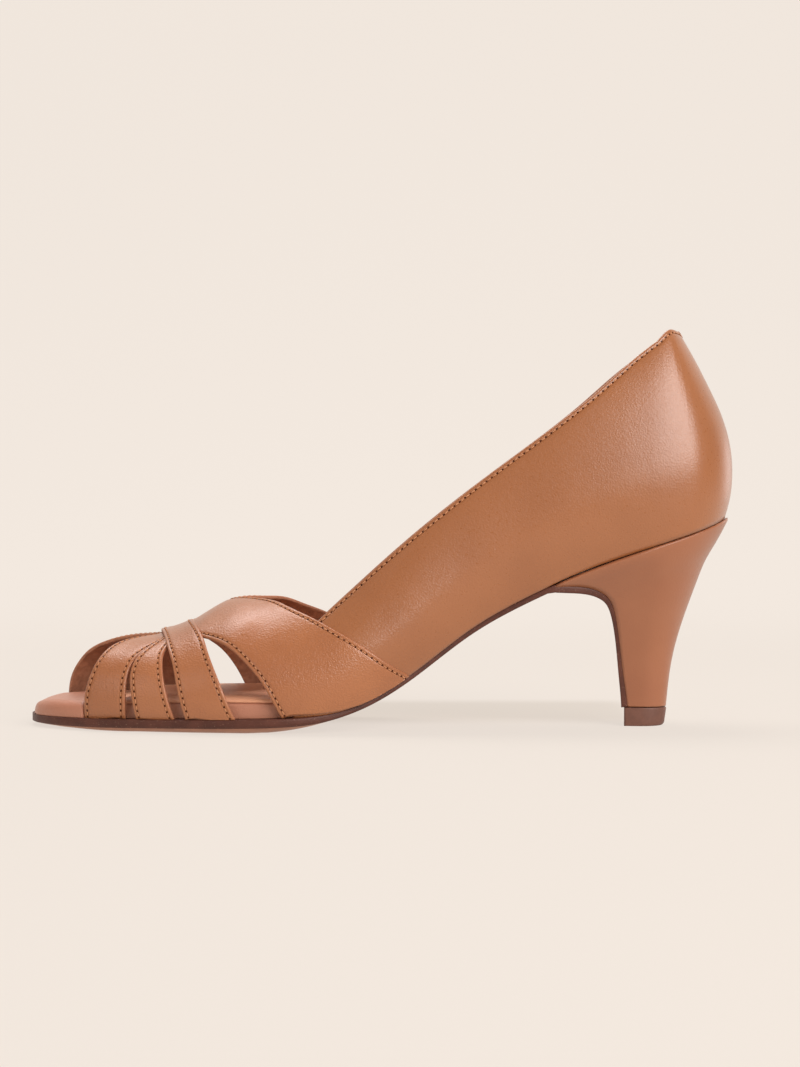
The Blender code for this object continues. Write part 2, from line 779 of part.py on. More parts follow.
def heel_ring(front, back, half, width_share):
    """One section of the heel, from its breast round its back. It leans between front and back."""
    ring = []
    for i in range(SEAT_STEPS):
        toward_back = math.sin(0.5 * math.pi * i / (SEAT_STEPS - 1))
        past_shoulder = max(0.0, (toward_back - HEEL_SHOULDER) / (1 - HEEL_SHOULDER))
        before_shoulder = max(0.0, (HEEL_SHOULDER - toward_back) / HEEL_SHOULDER)
        round_back = math.sqrt(max(0.0, 1 - past_shoulder**2))
        narrowing = 1 - (1 - front_fullness(width_share)) * before_shoulder**1.5
        width = max(half * round_back * narrowing, CLEARANCE)
        x = front[0] + (back[0] - front[0]) * toward_back
        z = front[1] + (back[1] - front[1]) * toward_back
        turned = 2 * BREAST_TURN * width * (1 - toward_back)
        ring.append((x, width, z, turned))
    outer = [(x, -y, z) for x, y, z, _ in ring]
    return outer + [(x + turned, y, z) for x, y, z, turned in reversed(ring)]


def make_heel(material):
    rings = []
    for front, front_rise, back, back_rise, width, _ in HEEL:
        ring = heel_ring(
            (place(front), tip_rise(front_rise)),
            (place(back), tip_rise(back_rise)),
            heel_half_width(width),
            width,
        )
        rings.append(ring)
    # The seat follows the bottom of the last, drawn in from the rim
    centre = place(HEEL_CENTRE)
    drawn_in = SEAT_RADIUS / (place(HEEL[0][2]) - centre)
    seat = []
    for x, y, _ in rings[0]:
        under = x if x < centre else centre + (x - centre) * drawn_in
        seat.append((x, y, feather_height(under / LENGTH + 0.5)))
    rings[0] = seat
    return loft("heel", rings, material, paired_cap(rings[0]))


def make_top_piece(material):
    front, _, back, *_ = HEEL[-1]
    ahead = place(front) - TIP_FRONT
    behind = place(back) + TIP_OVERHANG
    half = 0.5 * TIP_WIDTH + TIP_OVERHANG
    # Columns: height and how far the back is drawn in, for a rounded lower corner
    sections = (
        (TOP_PIECE_HEIGHT, 0.0),
        (TIP_ROUNDING, 0.30 * TIP_ROUNDING),
        (0.4 * TIP_ROUNDING, 0.55 * TIP_ROUNDING),
        (0.0, 1.05 * TIP_ROUNDING),
    )
    rings = []
    for height, drawn in sections:
        rings.append(heel_ring((ahead, height), (behind - drawn, height), half - 0.3 * drawn, 0.0))
    return loft("top_piece", rings, material, paired_cap(rings[0]))


def centre_over_origin():
    """Moves the whole shoe so that its footprint is centred on the origin."""
    pieces = list(bpy.data.objects)
    corners = np.array([vertex.co for piece in pieces for vertex in piece.data.vertices])
    middle = 0.5 * (corners.min(axis=0) + corners.max(axis=0))
    for piece in pieces:
        piece.data.transform(Matrix.Translation((-middle[0], -middle[1], 0.0)))


def main():
    clear_scene()
    tan = finish("tan_leather", TAN, 0.42, 0.15)
    lining = finish("sock_leather", TAN, 0.50)
    covered = finish("covered_leather", TAN, 0.42, 0.15)
    sole = finish("sole_brown", SOLE_BROWN, 0.55)
    tip = finish("tip_rubber", TIP_BROWN, 0.60)
    make_upper(tan)
    make_back_tab(tan)
    make_outsole(sole)
    make_footbed(covered)
    make_sock(lining)
    make_heel(covered)
    make_top_piece(tip)
    centre_over_origin()


main()
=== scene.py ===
import math

import bpy
import numpy as np
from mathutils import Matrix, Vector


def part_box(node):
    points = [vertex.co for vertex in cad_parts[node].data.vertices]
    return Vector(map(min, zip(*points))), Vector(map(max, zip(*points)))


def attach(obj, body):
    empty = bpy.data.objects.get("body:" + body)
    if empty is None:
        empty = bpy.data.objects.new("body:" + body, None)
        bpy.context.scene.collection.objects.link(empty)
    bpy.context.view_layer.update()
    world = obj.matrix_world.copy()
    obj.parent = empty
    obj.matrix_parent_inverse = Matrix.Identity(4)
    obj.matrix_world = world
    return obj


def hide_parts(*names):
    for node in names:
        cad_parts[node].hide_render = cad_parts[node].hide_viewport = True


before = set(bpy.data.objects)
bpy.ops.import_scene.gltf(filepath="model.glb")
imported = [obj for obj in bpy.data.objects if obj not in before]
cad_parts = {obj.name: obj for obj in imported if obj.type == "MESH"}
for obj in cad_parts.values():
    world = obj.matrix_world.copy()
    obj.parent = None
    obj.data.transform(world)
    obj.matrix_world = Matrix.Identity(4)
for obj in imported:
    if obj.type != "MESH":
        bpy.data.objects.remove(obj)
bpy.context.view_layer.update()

MM = 0.001

# Driving dimensions, as in the frame
LENGTH = 233.7
BALL_WIDTH = 70.0
SEAT_HEIGHT = 69.5
COLLAR_HEIGHT = 129.2
LAST_OVER_COLLAR = 11.8
LAST_HEIGHT = COLLAR_HEIGHT + LAST_OVER_COLLAR
BELLY = 6.4
CLEARANCE = 0.3
LINED_LEATHER = 1.6
LAPPED_LEATHER = 2.3
CROSSED_LEATHER = 3.0
TREAD = 4.5
SOLE_EDGE = 2.5
SHANK_SOLE = 2.1
SOLE_MARGIN = 3.3
SOLE_STEP = 0.8
TOE_SPRING = 1.4
FOOTBED = 5.0
SOCK = 1.8
TOE_SOCK = 0.6
TOP_PIECE_HEIGHT = 6.1
TIP_WIDTH = 13.2
TIP_OVERHANG = 0.1
TIP_FRONT = 1.1
TIP_ROUNDING = 1.8
HEEL_RIM = 0.8
TAB_WIDTH = 3.8
TAB_DROP = 2.4
TAB_LEATHER = 0.6
HEEL_CENTRE = 0.89
BELLY_LINE = 0.33
TOE_CAP = 0.015
TOE_SPRING_REACH = 0.13
TOE_OPEN = 0.09
TOE_COVERED = 0.17
BACK_SEAM_CURL = 1.31
HEEL_SHOULDER = 0.45
BREAST_TURN = 0.096
TURN_START = 0.62

# Leather work
SHEET = 1.25
LEAST_SHEET = 0.25
EDGE_RADIUS = 0.5
LINING_EDGE = 1.6
STITCH_INSET = 1.35
STITCH_PITCH = 2.1
COLLAR_PITCH = 2.15
SEAM_END = 0.6
THREAD = 0.50
THREAD_REACH = 0.36
THREAD_HEIGHT = 0.42
THREAD_LIFT = 0.14
HOLE = 0.34
HOLE_LIFT = 0.06
HOLE_DEPTH = 0.12
GROOVE = 0.18
GROOVE_WIDTH = 0.34
PUFF = 0.10
PUFF_REACH = 1.4
SEAM_DIP = 0.35
SEAM_WIDTH = 0.6
# Half a crease's length with its fade, as a share of its run
CREASE_REACH = 0.7
# Most of a strap's width that the columns by one edge take
EDGE_SHARE = 0.42
# How far the quarters start ahead of the collar, under the vamp band
COLLAR_TUCK = 0.012
# Girths next to the sole where lifts and creases fade, and where the wall turns level
FOOT_FADE = 0.1
LEVEL_GIRTH = 0.12
# Where the quarters begin to stand over the heel, how soon, and by what share of the clearance
SEAT_START = 0.73
SEAT_FADE = 0.02
SEAT_SHARE = 0.5
# The sides ease into the round back within a reach of its start, by an average over a width.
# Columns: step as a share of the width, weight
EASE_REACH = 18.0
EASE_WIDTH = 8.0
EASE_STEPS = ((-1.0, 1), (-0.6, 2), (-0.25, 3), (0.0, 3), (0.25, 3), (0.6, 2), (1.0, 1))

# Sole, footbed, sock, heel and tab, where the looks say more than the frame
FLAP_GAP = 0.02
# Powers of the curves across the tread and along the toe spring
TREAD_FLATNESS = 9
SPRING_CURVE = 1.5
# The footbed's nose. Reach and drop are shares of the length and of the footbed's depth
NOSE_REACH = 0.05
NOSE_DROP = 0.85
NOSE_OVER = 0.3
# Lift over what is below, and where the footbed comes out from under the first strap
SEATED = 0.05
WRAP_START = 0.0015
WRAP_FADE = 0.008
# Round shoulders. Those of the footbed, and the sock's inset: under the straps, then at the toe
BED_ROUNDING = (1.1, 3.0)
BED_SHOULDER = (1.3, 4.5)
SOCK_ROUNDING = 1.8
SOCK_SHOULDER = 5.0
SOCK_INSET = (0.4, 1.6)
SOCK_CUP = 0.5
# Top and foot of the sock over the footbed at the open toe, where it dives under the wrap
SOCK_TOP_AT_TOE = -0.2
SOCK_FOOT_AT_TOE = -1.2
# The dip of the heel's rim. It and the seat's curve fade out at shares of the way down the heel
RIM_DIP = 0.75
RIM_FADE = 0.25
SEAT_BEND = 0.22
HEEL_STEPS = 34
BREAST_WIDTH = 0.86
BREAST_WIDENING = 0.02
LEAST_HALF = 0.2
# The last's width at the collar as a share of the seat's, and how flat the tab is folded
COLLAR_WIDTH_SHARE = 0.35
FOLD_FLATNESS = 0.6

# Camera, from where the photograph was taken
CAMERA_DISTANCE = 750.0
CAMERA_HEIGHT = 63.7
CAMERA_ALONG = 6.55
PHOTO_HEIGHT = 1067
FOCAL_PIXELS = 2250.0
SENSOR = 36.0

# Bottom of the last. Columns: along, height over the tread as a share of the seat's rise
FEATHER = (
    (0.00, -0.010), (0.10, -0.008), (0.20, -0.002), (0.37, 0.009), (0.43, 0.029),
    (0.48, 0.088), (0.54, 0.217), (0.62, 0.430), (0.70, 0.592), (0.78, 0.722),
    (0.87, 0.836), (0.94, 0.925), (1.00, 1.015),
)

# Ridge of the last. Columns: along, share of the last's height
RIDGE = (
    (0.000, 0.120), (0.050, 0.162), (0.100, 0.186), (0.145, 0.198), (0.190, 0.204),
    (0.225, 0.220), (0.260, 0.253), (0.295, 0.283), (0.330, 0.291), (0.370, 0.309),
    (0.420, 0.345), (0.480, 0.435), (0.560, 0.590), (0.650, 0.740), (0.740, 0.860),
    (0.820, 0.940), (0.890, 1.000),
)

# Outline of the last's bottom. Columns: along, half width and shift to the inner side
# as shares of the ball width
PLAN = (
    (0.00, 0.000, 0.114), (0.02, 0.186, 0.107), (0.05, 0.286, 0.093),
    (0.10, 0.371, 0.071), (0.15, 0.421, 0.050), (0.20, 0.457, 0.031),
    (0.25, 0.483, 0.014), (0.30, 0.497, 0.000), (0.35, 0.500, -0.014),
    (0.40, 0.483, -0.023), (0.45, 0.446, -0.029), (0.50, 0.400, -0.029),
    (0.55, 0.360, -0.026), (0.60, 0.331, -0.021), (0.65, 0.317, -0.017),
    (0.70, 0.317, -0.011), (0.75, 0.329, -0.007), (0.80, 0.346, -0.003),
    (0.85, 0.360, 0.000), (0.89, 0.364, 0.000),
)

# Section of the last. Columns: along, fullness of the arch, share of the belly
SECTION = (
    (0.00, 3.00, 0.20), (0.15, 3.00, 0.25), (0.25, 2.50, 0.30), (0.33, 2.20, 0.40),
    (0.40, 2.15, 0.50), (0.46, 2.30, 0.70), (0.53, 2.40, 0.90), (0.62, 2.45, 1.00),
    (0.72, 2.40, 1.00), (0.82, 2.25, 0.70), (0.89, 2.10, 0.45),
)

# Back curve of the heel. Columns: height between seat and top of the last, share of the seat
# radius
BACK_CURVE = (
    (0.000, 1.000), (0.113, 1.093), (0.222, 1.116), (0.290, 1.102), (0.393, 1.032),
    (0.490, 0.917), (0.578, 0.778), (0.674, 0.616), (0.762, 0.454), (0.831, 0.319),
    (1.000, 0.000),
)

# Cut edges of the straps and the vamp band, as places along the shoe.
# Columns: girth from the ridge (0) to the sole (1), then the edges from front to back
EDGE_NAMES = (
    "toe_front toe_back mid_front mid_back cross_front cross_back band_front band_back"
).split()
EDGES = (
    (0.0, 0.1900, 0.2250, 0.2350, 0.2400, 0.1880, 0.2370, 0.2220, 0.2960),
    (0.2, 0.1600, 0.2150, 0.2220, 0.2350, 0.1950, 0.2425, 0.2280, 0.3400),
    (0.4, 0.1235, 0.1880, 0.1870, 0.2150, 0.2055, 0.2542, 0.2430, 0.3820),
    (0.5, 0.1125, 0.1690, 0.1710, 0.2050, 0.2115, 0.2615, 0.2660, 0.4068),
    (0.6, 0.1043, 0.1580, 0.1618, 0.2038, 0.2185, 0.2680, 0.2935, 0.4306),
    (0.8, 0.0945, 0.1526, 0.1622, 0.2110, 0.2280, 0.2855, 0.3395, 0.4815),
    (1.0, 0.0937, 0.1523, 0.1685, 0.2225, 0.2385, 0.3060, 0.3670, 0.5360),
)
# The same edges on the inner side of the foot, where the straps run further forward
INNER_EDGES = (
    (0.2, 0.1320, 0.2010, 0.2080, 0.2210, 0.1850, 0.2335, 0.2200, 0.3450),
    (0.4, 0.0755, 0.1590, 0.1590, 0.1870, 0.1800, 0.2250, 0.2330, 0.3875),
    (0.5, 0.0605, 0.1330, 0.1330, 0.1690, 0.1765, 0.2215, 0.2425, 0.4120),
    (0.6, 0.0498, 0.1150, 0.1185, 0.1600, 0.1720, 0.2225, 0.2572, 0.4360),
    (0.8, 0.0418, 0.1027, 0.1123, 0.1570, 0.1695, 0.2330, 0.2850, 0.4885),
    (1.0, 0.0410, 0.1003, 0.1165, 0.1650, 0.1770, 0.2510, 0.3090, 0.5430),
)

# Top line of the quarters. Columns: along, share of the collar's height
COLLAR = (
    (0.395, 0.233), (0.45, 0.322), (0.53, 0.454), (0.62, 0.589), (0.72, 0.725),
    (0.80, 0.839), (0.87, 0.946), (0.92, 0.993), (0.97, 1.000), (1.06, 1.000),
)

# How far the rolled edge stands over the frame's top line, in millimetres.
# Columns: along, outer side, inner side
ROLLED_EDGE = (
    (0.395, 0.10, 0.10), (0.60, 0.20, 0.20), (0.80, 0.25, 0.15), (0.87, 0.50, -0.05),
    (0.90, 0.70, -0.50), (0.93, 0.60, -0.45), (0.98, 0.30, 0.20), (1.06, 0.30, 0.30),
)

# Sole and footbed. Columns: along, depth at the middle and at the edge as shares of tread and
# sole edge, margin outside the last as a share of the sole margin, share of the footbed
SOLE = (
    (0.00, 0.55, 0.96, 0.85, 0.80),
    (0.06, 0.80, 1.00, 0.95, 0.87),
    (0.13, 1.10, 1.00, 1.00, 0.94),
    (0.20, 1.12, 1.00, 1.00, 1.00),
    (0.33, 1.18, 1.00, 1.00, 1.00),
    (0.385, 0.95, 0.98, 0.90, 0.92),
    (0.42, 0.66, 0.92, 0.60, 0.80),
    (0.45, 0.49, 0.85, 0.30, 0.66),
    (0.50, 0.47, 0.84, -0.10, 0.55),
    (0.60, 0.47, 0.84, -0.25, 0.50),
    (0.74, 0.47, 0.84, 0.20, 0.50),
)

# Heel from the seat down to its tip. Columns: front along, front height, back along, back height,
# width, thickness of the sole flap in front. Heights are shares of the rise from tip to seat,
# and widths are shares of what the seat is wider than the tip
HEEL = (
    (0.7409, 0.6434, 0.9945, 0.992, 1.000, 1.00),
    (0.7610, 0.6400, 0.9904, 0.954, 0.955, 0.98),
    (0.7867, 0.6310, 0.9831, 0.900, 0.870, 0.94),
    (0.8081, 0.6030, 0.9728, 0.834, 0.760, 0.84),
    (0.8222, 0.5530, 0.9608, 0.754, 0.629, 0.68),
    (0.8303, 0.4640, 0.9476, 0.628, 0.465, 0.50),
    (0.8368, 0.3344, 0.9300, 0.445, 0.254, 0.46),
    (0.8423, 0.1918, 0.9156, 0.247, 0.103, 0.55),
    (0.8475, 0.0697, 0.9093, 0.081, 0.028, 0.72),
    (0.8500, 0.0000, 0.9070, 0.000, 0.000, 0.84),
)

# Creases, given one by one. Columns: where each starts and ends (along, girth twice), half width
# and height in millimetres, a trough where it is negative
CREASES = (
    (0.305, -0.08, 0.262, -0.62, 4.5, -0.55),
    (0.345, -0.30, 0.300, -0.60, 3.5, 0.30),
    (0.300, 0.05, 0.250, 0.60, 4.5, -0.45),
    (0.345, -0.62, 0.395, -0.80, 5.0, -0.25),
    (0.165, -0.30, 0.125, -0.62, 3.0, -0.22),
    (0.190, -0.52, 0.176, -0.82, 2.2, 0.16),
    (0.222, -0.50, 0.238, -0.85, 2.5, 0.16),
    (0.600, -0.86, 0.700, -0.93, 4.0, -0.25),
    (0.455, -0.62, 0.560, -0.80, 6.0, -0.25),
)


def smooth_curve(table, column=1, stretch=np.asarray):
    """A smooth function through one column of a table, over its first column."""
    rows = np.array(table, float)
    xs = stretch(rows[:, 0])
    ys = rows[:, column]
    gaps = np.diff(xs)
    count = len(xs)
    system = np.eye(count)
    right = np.zeros(count)
    for i in range(1, count - 1):
        system[i, i - 1 : i + 2] = gaps[i - 1], 2 * (gaps[i - 1] + gaps[i]), gaps[i]
        right[i] = 6 * ((ys[i + 1] - ys[i]) / gaps[i] - (ys[i] - ys[i - 1]) / gaps[i - 1])
    bend = np.linalg.solve(system, right)

    def value(x):
        x = np.clip(stretch(x), xs[0], xs[-1])
        i = np.clip(np.searchsorted(xs, x) - 1, 0, count - 2)
        before = x - xs[i]
        after = xs[i + 1] - x
        curved = (bend[i] * after**3 + bend[i + 1] * before**3) / (6 * gaps[i])
        left = (ys[i] / gaps[i] - bend[i] * gaps[i] / 6) * after
        right_part = (ys[i + 1] / gaps[i] - bend[i + 1] * gaps[i] / 6) * before
        return curved + left + right_part

    return value


feather_share = smooth_curve(FEATHER)
ridge_share = smooth_curve(RIDGE)
half_share = smooth_curve(PLAN, 1, np.sqrt)
shift_share = smooth_curve(PLAN, 2)
fullness = smooth_curve(SECTION, 1)
belly_share = smooth_curve(SECTION, 2)
back_share = smooth_curve(BACK_CURVE)
collar_share = smooth_curve(COLLAR)
bed_depth = smooth_curve(SOLE, 4)

FULLEST_BACK = max(row[1] for row in BACK_CURVE)
SEAT_RADIUS = ((1 - HEEL_CENTRE) * LENGTH - LINED_LEATHER) / FULLEST_BACK
FAN_LENGTH = 0.25 * math.pi * (SEAT_RADIUS + half_share(HEEL_CENTRE) * BALL_WIDTH) / LENGTH
BACK_SEAM = HEEL_CENTRE + FAN_LENGTH


def place(along):
    """The X of a share of the length from the toe."""
    return (along - 0.5) * LENGTH


def along_of(x):
    return x / LENGTH + 0.5


def arc(turn, count):
    """Cosines and sines from 0 to a turn in degrees."""
    return [(math.cos(a), math.sin(a)) for a in np.radians(np.linspace(0, turn, count))]


def feather_height(along):
    return TREAD + (SEAT_HEIGHT - TREAD) * feather_share(along)


def fan_angle(along):
    return np.clip((along - HEEL_CENTRE) / FAN_LENGTH, 0, 1) * math.pi / 2


def last_form(along, girth):
    """Points of the last, in millimetres."""
    along = np.asarray(along, float)
    girth = np.asarray(girth, float)
    section = np.minimum(along, HEEL_CENTRE)
    turn = fan_angle(along)
    up = np.abs(np.sin((1 - np.abs(girth)) * math.pi / 2))
    out = np.abs(np.cos((1 - np.abs(girth)) * math.pi / 2))
    power = fullness(section)
    reach = (up**power + out**power) ** (-1 / power)
    rise = up * reach
    to_belly = np.minimum(rise / BELLY_LINE, 1)
    bulge = BELLY * belly_share(section) * (1 - (1 - to_belly) ** 2)
    side = (half_share(section) * BALL_WIDTH + bulge) * out * reach
    back = SEAT_RADIUS * back_share(rise)
    foot = feather_height(section + SEAT_RADIUS * np.sin(turn) / LENGTH)
    x = place(section) + back * np.sin(turn)
    y = shift_share(section) * BALL_WIDTH + np.sign(girth) * side * np.cos(turn)
    z = foot + (LAST_HEIGHT * ridge_share(section) - foot) * rise
    return np.stack([x, y, z], -1)


def smooth_step(way):
    """From 0 to 1 with level ends, as way goes from 0 to 1."""
    way = np.clip(way, 0, 1)
    return way * way * (3 - 2 * way)


def last_surface(along, girth):
    """The last with its sides and its round back eased into each other."""
    along = np.asarray(along, float)
    near = smooth_step(1 - np.abs(along - HEEL_CENTRE) * LENGTH / EASE_REACH)
    if not near.any():
        return last_form(along, girth)
    reach = EASE_WIDTH / LENGTH * near
    weights = sum(weight for _, weight in EASE_STEPS)
    return sum(
        weight / weights * last_form(along + step * reach, girth) for step, weight in EASE_STEPS
    )


def slopes(along, girth):
    """How the last moves for a step along it and for a step of girth."""
    # The very ends are left out, because the last closes there
    step = 1e-4
    along = np.clip(along, 0.002, BACK_SEAM - 2e-4)
    girth = np.clip(girth, -0.9995, 0.9995)
    ahead = last_surface(along + step, girth) - last_surface(along - step, girth)
    across = last_surface(along, girth + step) - last_surface(along, girth - step)
    return ahead / (2 * step), across / (2 * step)


def unit(vectors):
    return vectors / np.linalg.norm(vectors, axis=-1, keepdims=True)


def outward(along, girth):
    """The direction out of the wall, turned level near the sole."""
    ahead, across = slopes(along, girth)
    direction = unit(np.cross(ahead, across))
    direction[..., 2] *= smooth_step((1 - np.abs(girth)) / LEVEL_GIRTH)
    centred = np.asarray(along) > BACK_SEAM - 1e-6
    direction[..., 1] = np.where(centred, 0.0, direction[..., 1])
    return unit(direction)


def wall_point(along, girth, lift):
    """Points of the wall at a lift above the last."""
    base = last_surface(along, girth)
    lifted = np.clip((1 - np.abs(girth)) / FOOT_FADE, 0, 1)
    seat = SEAT_SHARE * np.clip((along - SEAT_START) / SEAT_FADE, 0, 1)
    base[..., 2] += CLEARANCE * np.maximum(lifted, seat)
    return base + outward(along, girth) * np.asarray(lift, float)[..., None]


def edge_table(name):
    """One edge from the outer feather (-1) over the ridge to the inner feather (+1)."""
    column = EDGE_NAMES.index(name) + 1
    outer = [(-row[0], row[column]) for row in reversed(EDGES)]
    return outer + [(row[0], row[column]) for row in INNER_EDGES]


edge_curves = {name: smooth_curve(edge_table(name)) for name in EDGE_NAMES}


def collar_girth(along):
    """The girth at which the last reaches the collar's height, on either side."""
    section = np.minimum(along, HEEL_CENTRE)
    foot = feather_height(section + SEAT_RADIUS * np.sin(fan_angle(along)) / LENGTH)
    top = LAST_HEIGHT * ridge_share(section)
    rise = (COLLAR_HEIGHT * collar_share(along) - foot) / (top - foot)
    power = fullness(section)
    spread = (1 - rise**power) ** (1 / power)
    return 1 - np.arctan2(rise, spread) * 2 / math.pi


# The frame is centred over the origin, so the top piece says how far it was moved
_tip_low, _tip_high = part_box("top_piece")
_tip_front = place(HEEL[-1][0]) - TIP_FRONT
SHIFT = np.array([_tip_low[0] / MM - _tip_front, 0.5 * (_tip_low[1] + _tip_high[1]) / MM, 0.0])


# Meshes

def linked(name, data):
    """A new object in the scene."""
    thing = bpy.data.objects.new(name, data)
    bpy.context.collection.objects.link(thing)
    return thing


def make_piece(name, points, faces, materials, slots, turn=False):
    """A smooth mesh from points in millimetres. Slots gives each face its material."""
    mesh = bpy.data.meshes.new(name)
    world = (np.asarray(points, float) + SHIFT) * MM
    mesh.from_pydata(world.tolist(), [], [tuple(face) for face in faces])
    for material in materials:
        mesh.materials.append(material)
    mesh.polygons.foreach_set("material_index", np.asarray(slots, np.int32))
    if turn:
        mesh.flip_normals()
    mesh.shade_smooth()
    mesh.update()
    piece = linked(name, mesh)
    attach(piece, "root")
    return piece


def tube_faces(rings, count):
    """Faces between closed rings that follow each other."""
    first = np.arange(rings - 1)[:, None] * count
    i = np.arange(count)[None, :]
    j = (i + 1) % count
    quads = np.stack([first + i, first + j, first + count + j, first + count + i], axis=-1)
    return quads.reshape(-1, 4).tolist()


def closed_tube(name, rings, materials, ring_slots=None, cap_slot=0):
    """A solid through closed rings. Each place round a ring may have its own material."""
    rings = np.asarray(rings, float)
    rows, count, _ = rings.shape
    points = rings.reshape(-1, 3)
    faces = tube_faces(rows, count)
    slots = list(np.tile(np.zeros(count, int) if ring_slots is None else ring_slots, rows - 1))
    faces.append(list(range(count))[::-1])
    faces.append(list(range((rows - 1) * count, rows * count)))
    slots += [cap_slot, cap_slot]
    # The faces look out if the rings turn left round the way that they go
    turning = np.cross(rings, np.roll(rings, -1, axis=1)).sum(axis=1)
    turn = (turning * np.gradient(rings.mean(axis=1), axis=0)).sum() < 0
    return make_piece(name, points, faces, materials, slots, turn)


# Leather sheets

# About a millimetre each way on the map of along and girth
MAP_SCALE = np.array([LENGTH, BALL_WIDTH])


def crease_lift(along, girth):
    """Height of the listed creases at a place on the map."""
    total = np.zeros(np.shape(along))
    for along_0, girth_0, along_1, girth_1, half_width, height in CREASES:
        start = MAP_SCALE * (along_0, girth_0)
        run = MAP_SCALE * (along_1, girth_1) - start
        there = MAP_SCALE * np.stack([along, girth], -1) - start
        part_way = (there @ run) / (run @ run)
        beside = there - np.clip(part_way, 0, 1)[..., None] * run
        distance = np.linalg.norm(beside, axis=-1) / half_width
        fade = np.clip(1 - np.abs(part_way - 0.5) / CREASE_REACH, 0, 1)
        total += height * np.exp(-(distance**2)) * fade
    return total * np.clip((1 - np.abs(girth)) / FOOT_FADE, 0, 1)


def edge_profile(depth, stitched):
    """Height of the sheet's face at a distance in from its cut edge."""
    inside = np.clip(1 - depth / EDGE_RADIUS, 0, 1)
    rounding = -EDGE_RADIUS * (1 - np.sqrt(1 - inside**2))
    if not stitched:
        return rounding
    groove = -GROOVE * np.exp(-(((depth - STITCH_INSET) / GROOVE_WIDTH) ** 2))
    puff = PUFF * np.sqrt(np.clip((depth - STITCH_INSET) / PUFF_REACH, 0, 1))
    return rounding + groove + puff


def steps_across(line, toward):
    """For each point of a line on the map, the step that goes 1 mm straight across it."""
    ahead, across = slopes(line[:, 0], line[:, 1])
    tangent = np.gradient(line, axis=0)
    run = ahead * tangent[:, :1] + across * tangent[:, 1:]
    square = unit(np.cross(np.cross(ahead, across), run))
    aa = (ahead * ahead).sum(axis=1)
    ab = (ahead * across).sum(axis=1)
    bb = (across * across).sum(axis=1)
    pa = (ahead * square).sum(axis=1)
    pb = (across * square).sum(axis=1)
    full = aa * bb - ab * ab
    step = np.stack([(bb * pa - ab * pb) / full, (aa * pb - ab * pa) / full], axis=1)
    facing = ((toward - line) * step * MAP_SCALE**2).sum(axis=1)
    return step * np.sign(facing.mean())


# Girths of a strap's rings, crowded a little toward the sole
EVEN_GIRTHS = np.linspace(-1, 1, 221)
CROWDING = 0.35
GIRTHS = CROWDING * np.sin(EVEN_GIRTHS * math.pi / 2) + (1 - CROWDING) * EVEN_GIRTHS

# Distances of a sheet's columns from its cut edge
INSETS = np.array([0.0, 0.04, 0.12, 0.25, 0.45, 0.7, 0.95, 1.15, 1.35, 1.55, 1.8, 2.2, 2.8, 3.6])


def sheet_columns(front, back, back_cut, middle_count):
    """Columns of a sheet between two lines: places on the map, and how deep inside the cut."""
    width = np.linalg.norm(last_surface(*front.T) - last_surface(*back.T), axis=1)
    squeeze = np.minimum(1.0, EDGE_SHARE * width / INSETS[-1])[:, None]
    front_step = steps_across(front, back)
    back_step = steps_across(back, front)
    back_insets = INSETS[::-1] if back_cut else INSETS[:1]
    ahead = [front + front_step * inset * squeeze for inset in INSETS]
    behind = [back + back_step * inset * squeeze for inset in back_insets]
    shares = np.linspace(0, 1, middle_count + 2)[1:-1]
    middle = [ahead[-1] + (behind[0] - ahead[-1]) * share for share in shares]
    places = np.stack(ahead + middle + behind, axis=1)
    places[..., 1] = np.clip(places[..., 1], -1, 1)
    places[..., 0] = np.minimum(places[..., 0], BACK_SEAM)
    insets = np.concatenate([INSETS, np.full(middle_count, INSETS[-1]), back_insets])
    return places, insets * squeeze


def seam_dip(along):
    """The quarters turn in a little where they meet at the back seam."""
    return -SEAM_DIP * np.exp(-(((BACK_SEAM - along) * LENGTH / SEAM_WIDTH) ** 2))


def leather_sheet(name, front, back, level, tan, middle, back_cut=True):
    """A sheet of leather on the last, from a level down, with its cut edges rounded."""
    places, depths = sheet_columns(front, back, back_cut, middle)
    along = places[..., 0]
    girth = places[..., 1]
    count = places.shape[1]
    if not back_cut:
        depths[:, count // 2 :] = INSETS[-1]
    outer = level + edge_profile(depths, True) + crease_lift(along, girth) + seam_dip(along)
    inner = level - SHEET - edge_profile(depths * LINING_EDGE, False)
    inner = np.minimum(inner + 0.5 * crease_lift(along, girth), outer - LEAST_SHEET)
    face = wall_point(along, girth, outer)
    lining = wall_point(along, girth, inner)[:, ::-1]
    rings = np.concatenate([face, lining], axis=1)
    slots = np.zeros(2 * count, int)
    slots[count : 2 * count - 1] = 1
    slots[[0, 1, count - 1, 2 * count - 1]] = 2
    if back_cut:
        slots[count - 3 : count - 1] = 2
    return closed_tube(name, rings, [tan, LINING_LIGHTENED, CUT_EDGE], slots, 1)


def edge_line(name):
    return np.stack([edge_curves[name](GIRTHS), GIRTHS], axis=1)


def collar_line(side, count):
    """The top line of the quarters on one side, with the rolled edge's own rise."""
    start = COLLAR[0][0]
    along = np.concatenate(
        [
            np.linspace(start - COLLAR_TUCK, HEEL_CENTRE, count),
            np.linspace(HEEL_CENTRE, BACK_SEAM, count // 3)[1:],
        ]
    )
    step = 0.004
    slope = np.diff(collar_girth(np.array([start, start + step])))[0] / step
    girth = collar_girth(np.maximum(along, start)) + slope * np.minimum(along - start, 0)
    over = smooth_curve(ROLLED_EDGE, 1 if side < 0 else 2)(along)
    girth = girth - over / np.linalg.norm(slopes(along, side * girth)[1], axis=1)
    return np.stack([along, side * girth], axis=1)


# Stitching

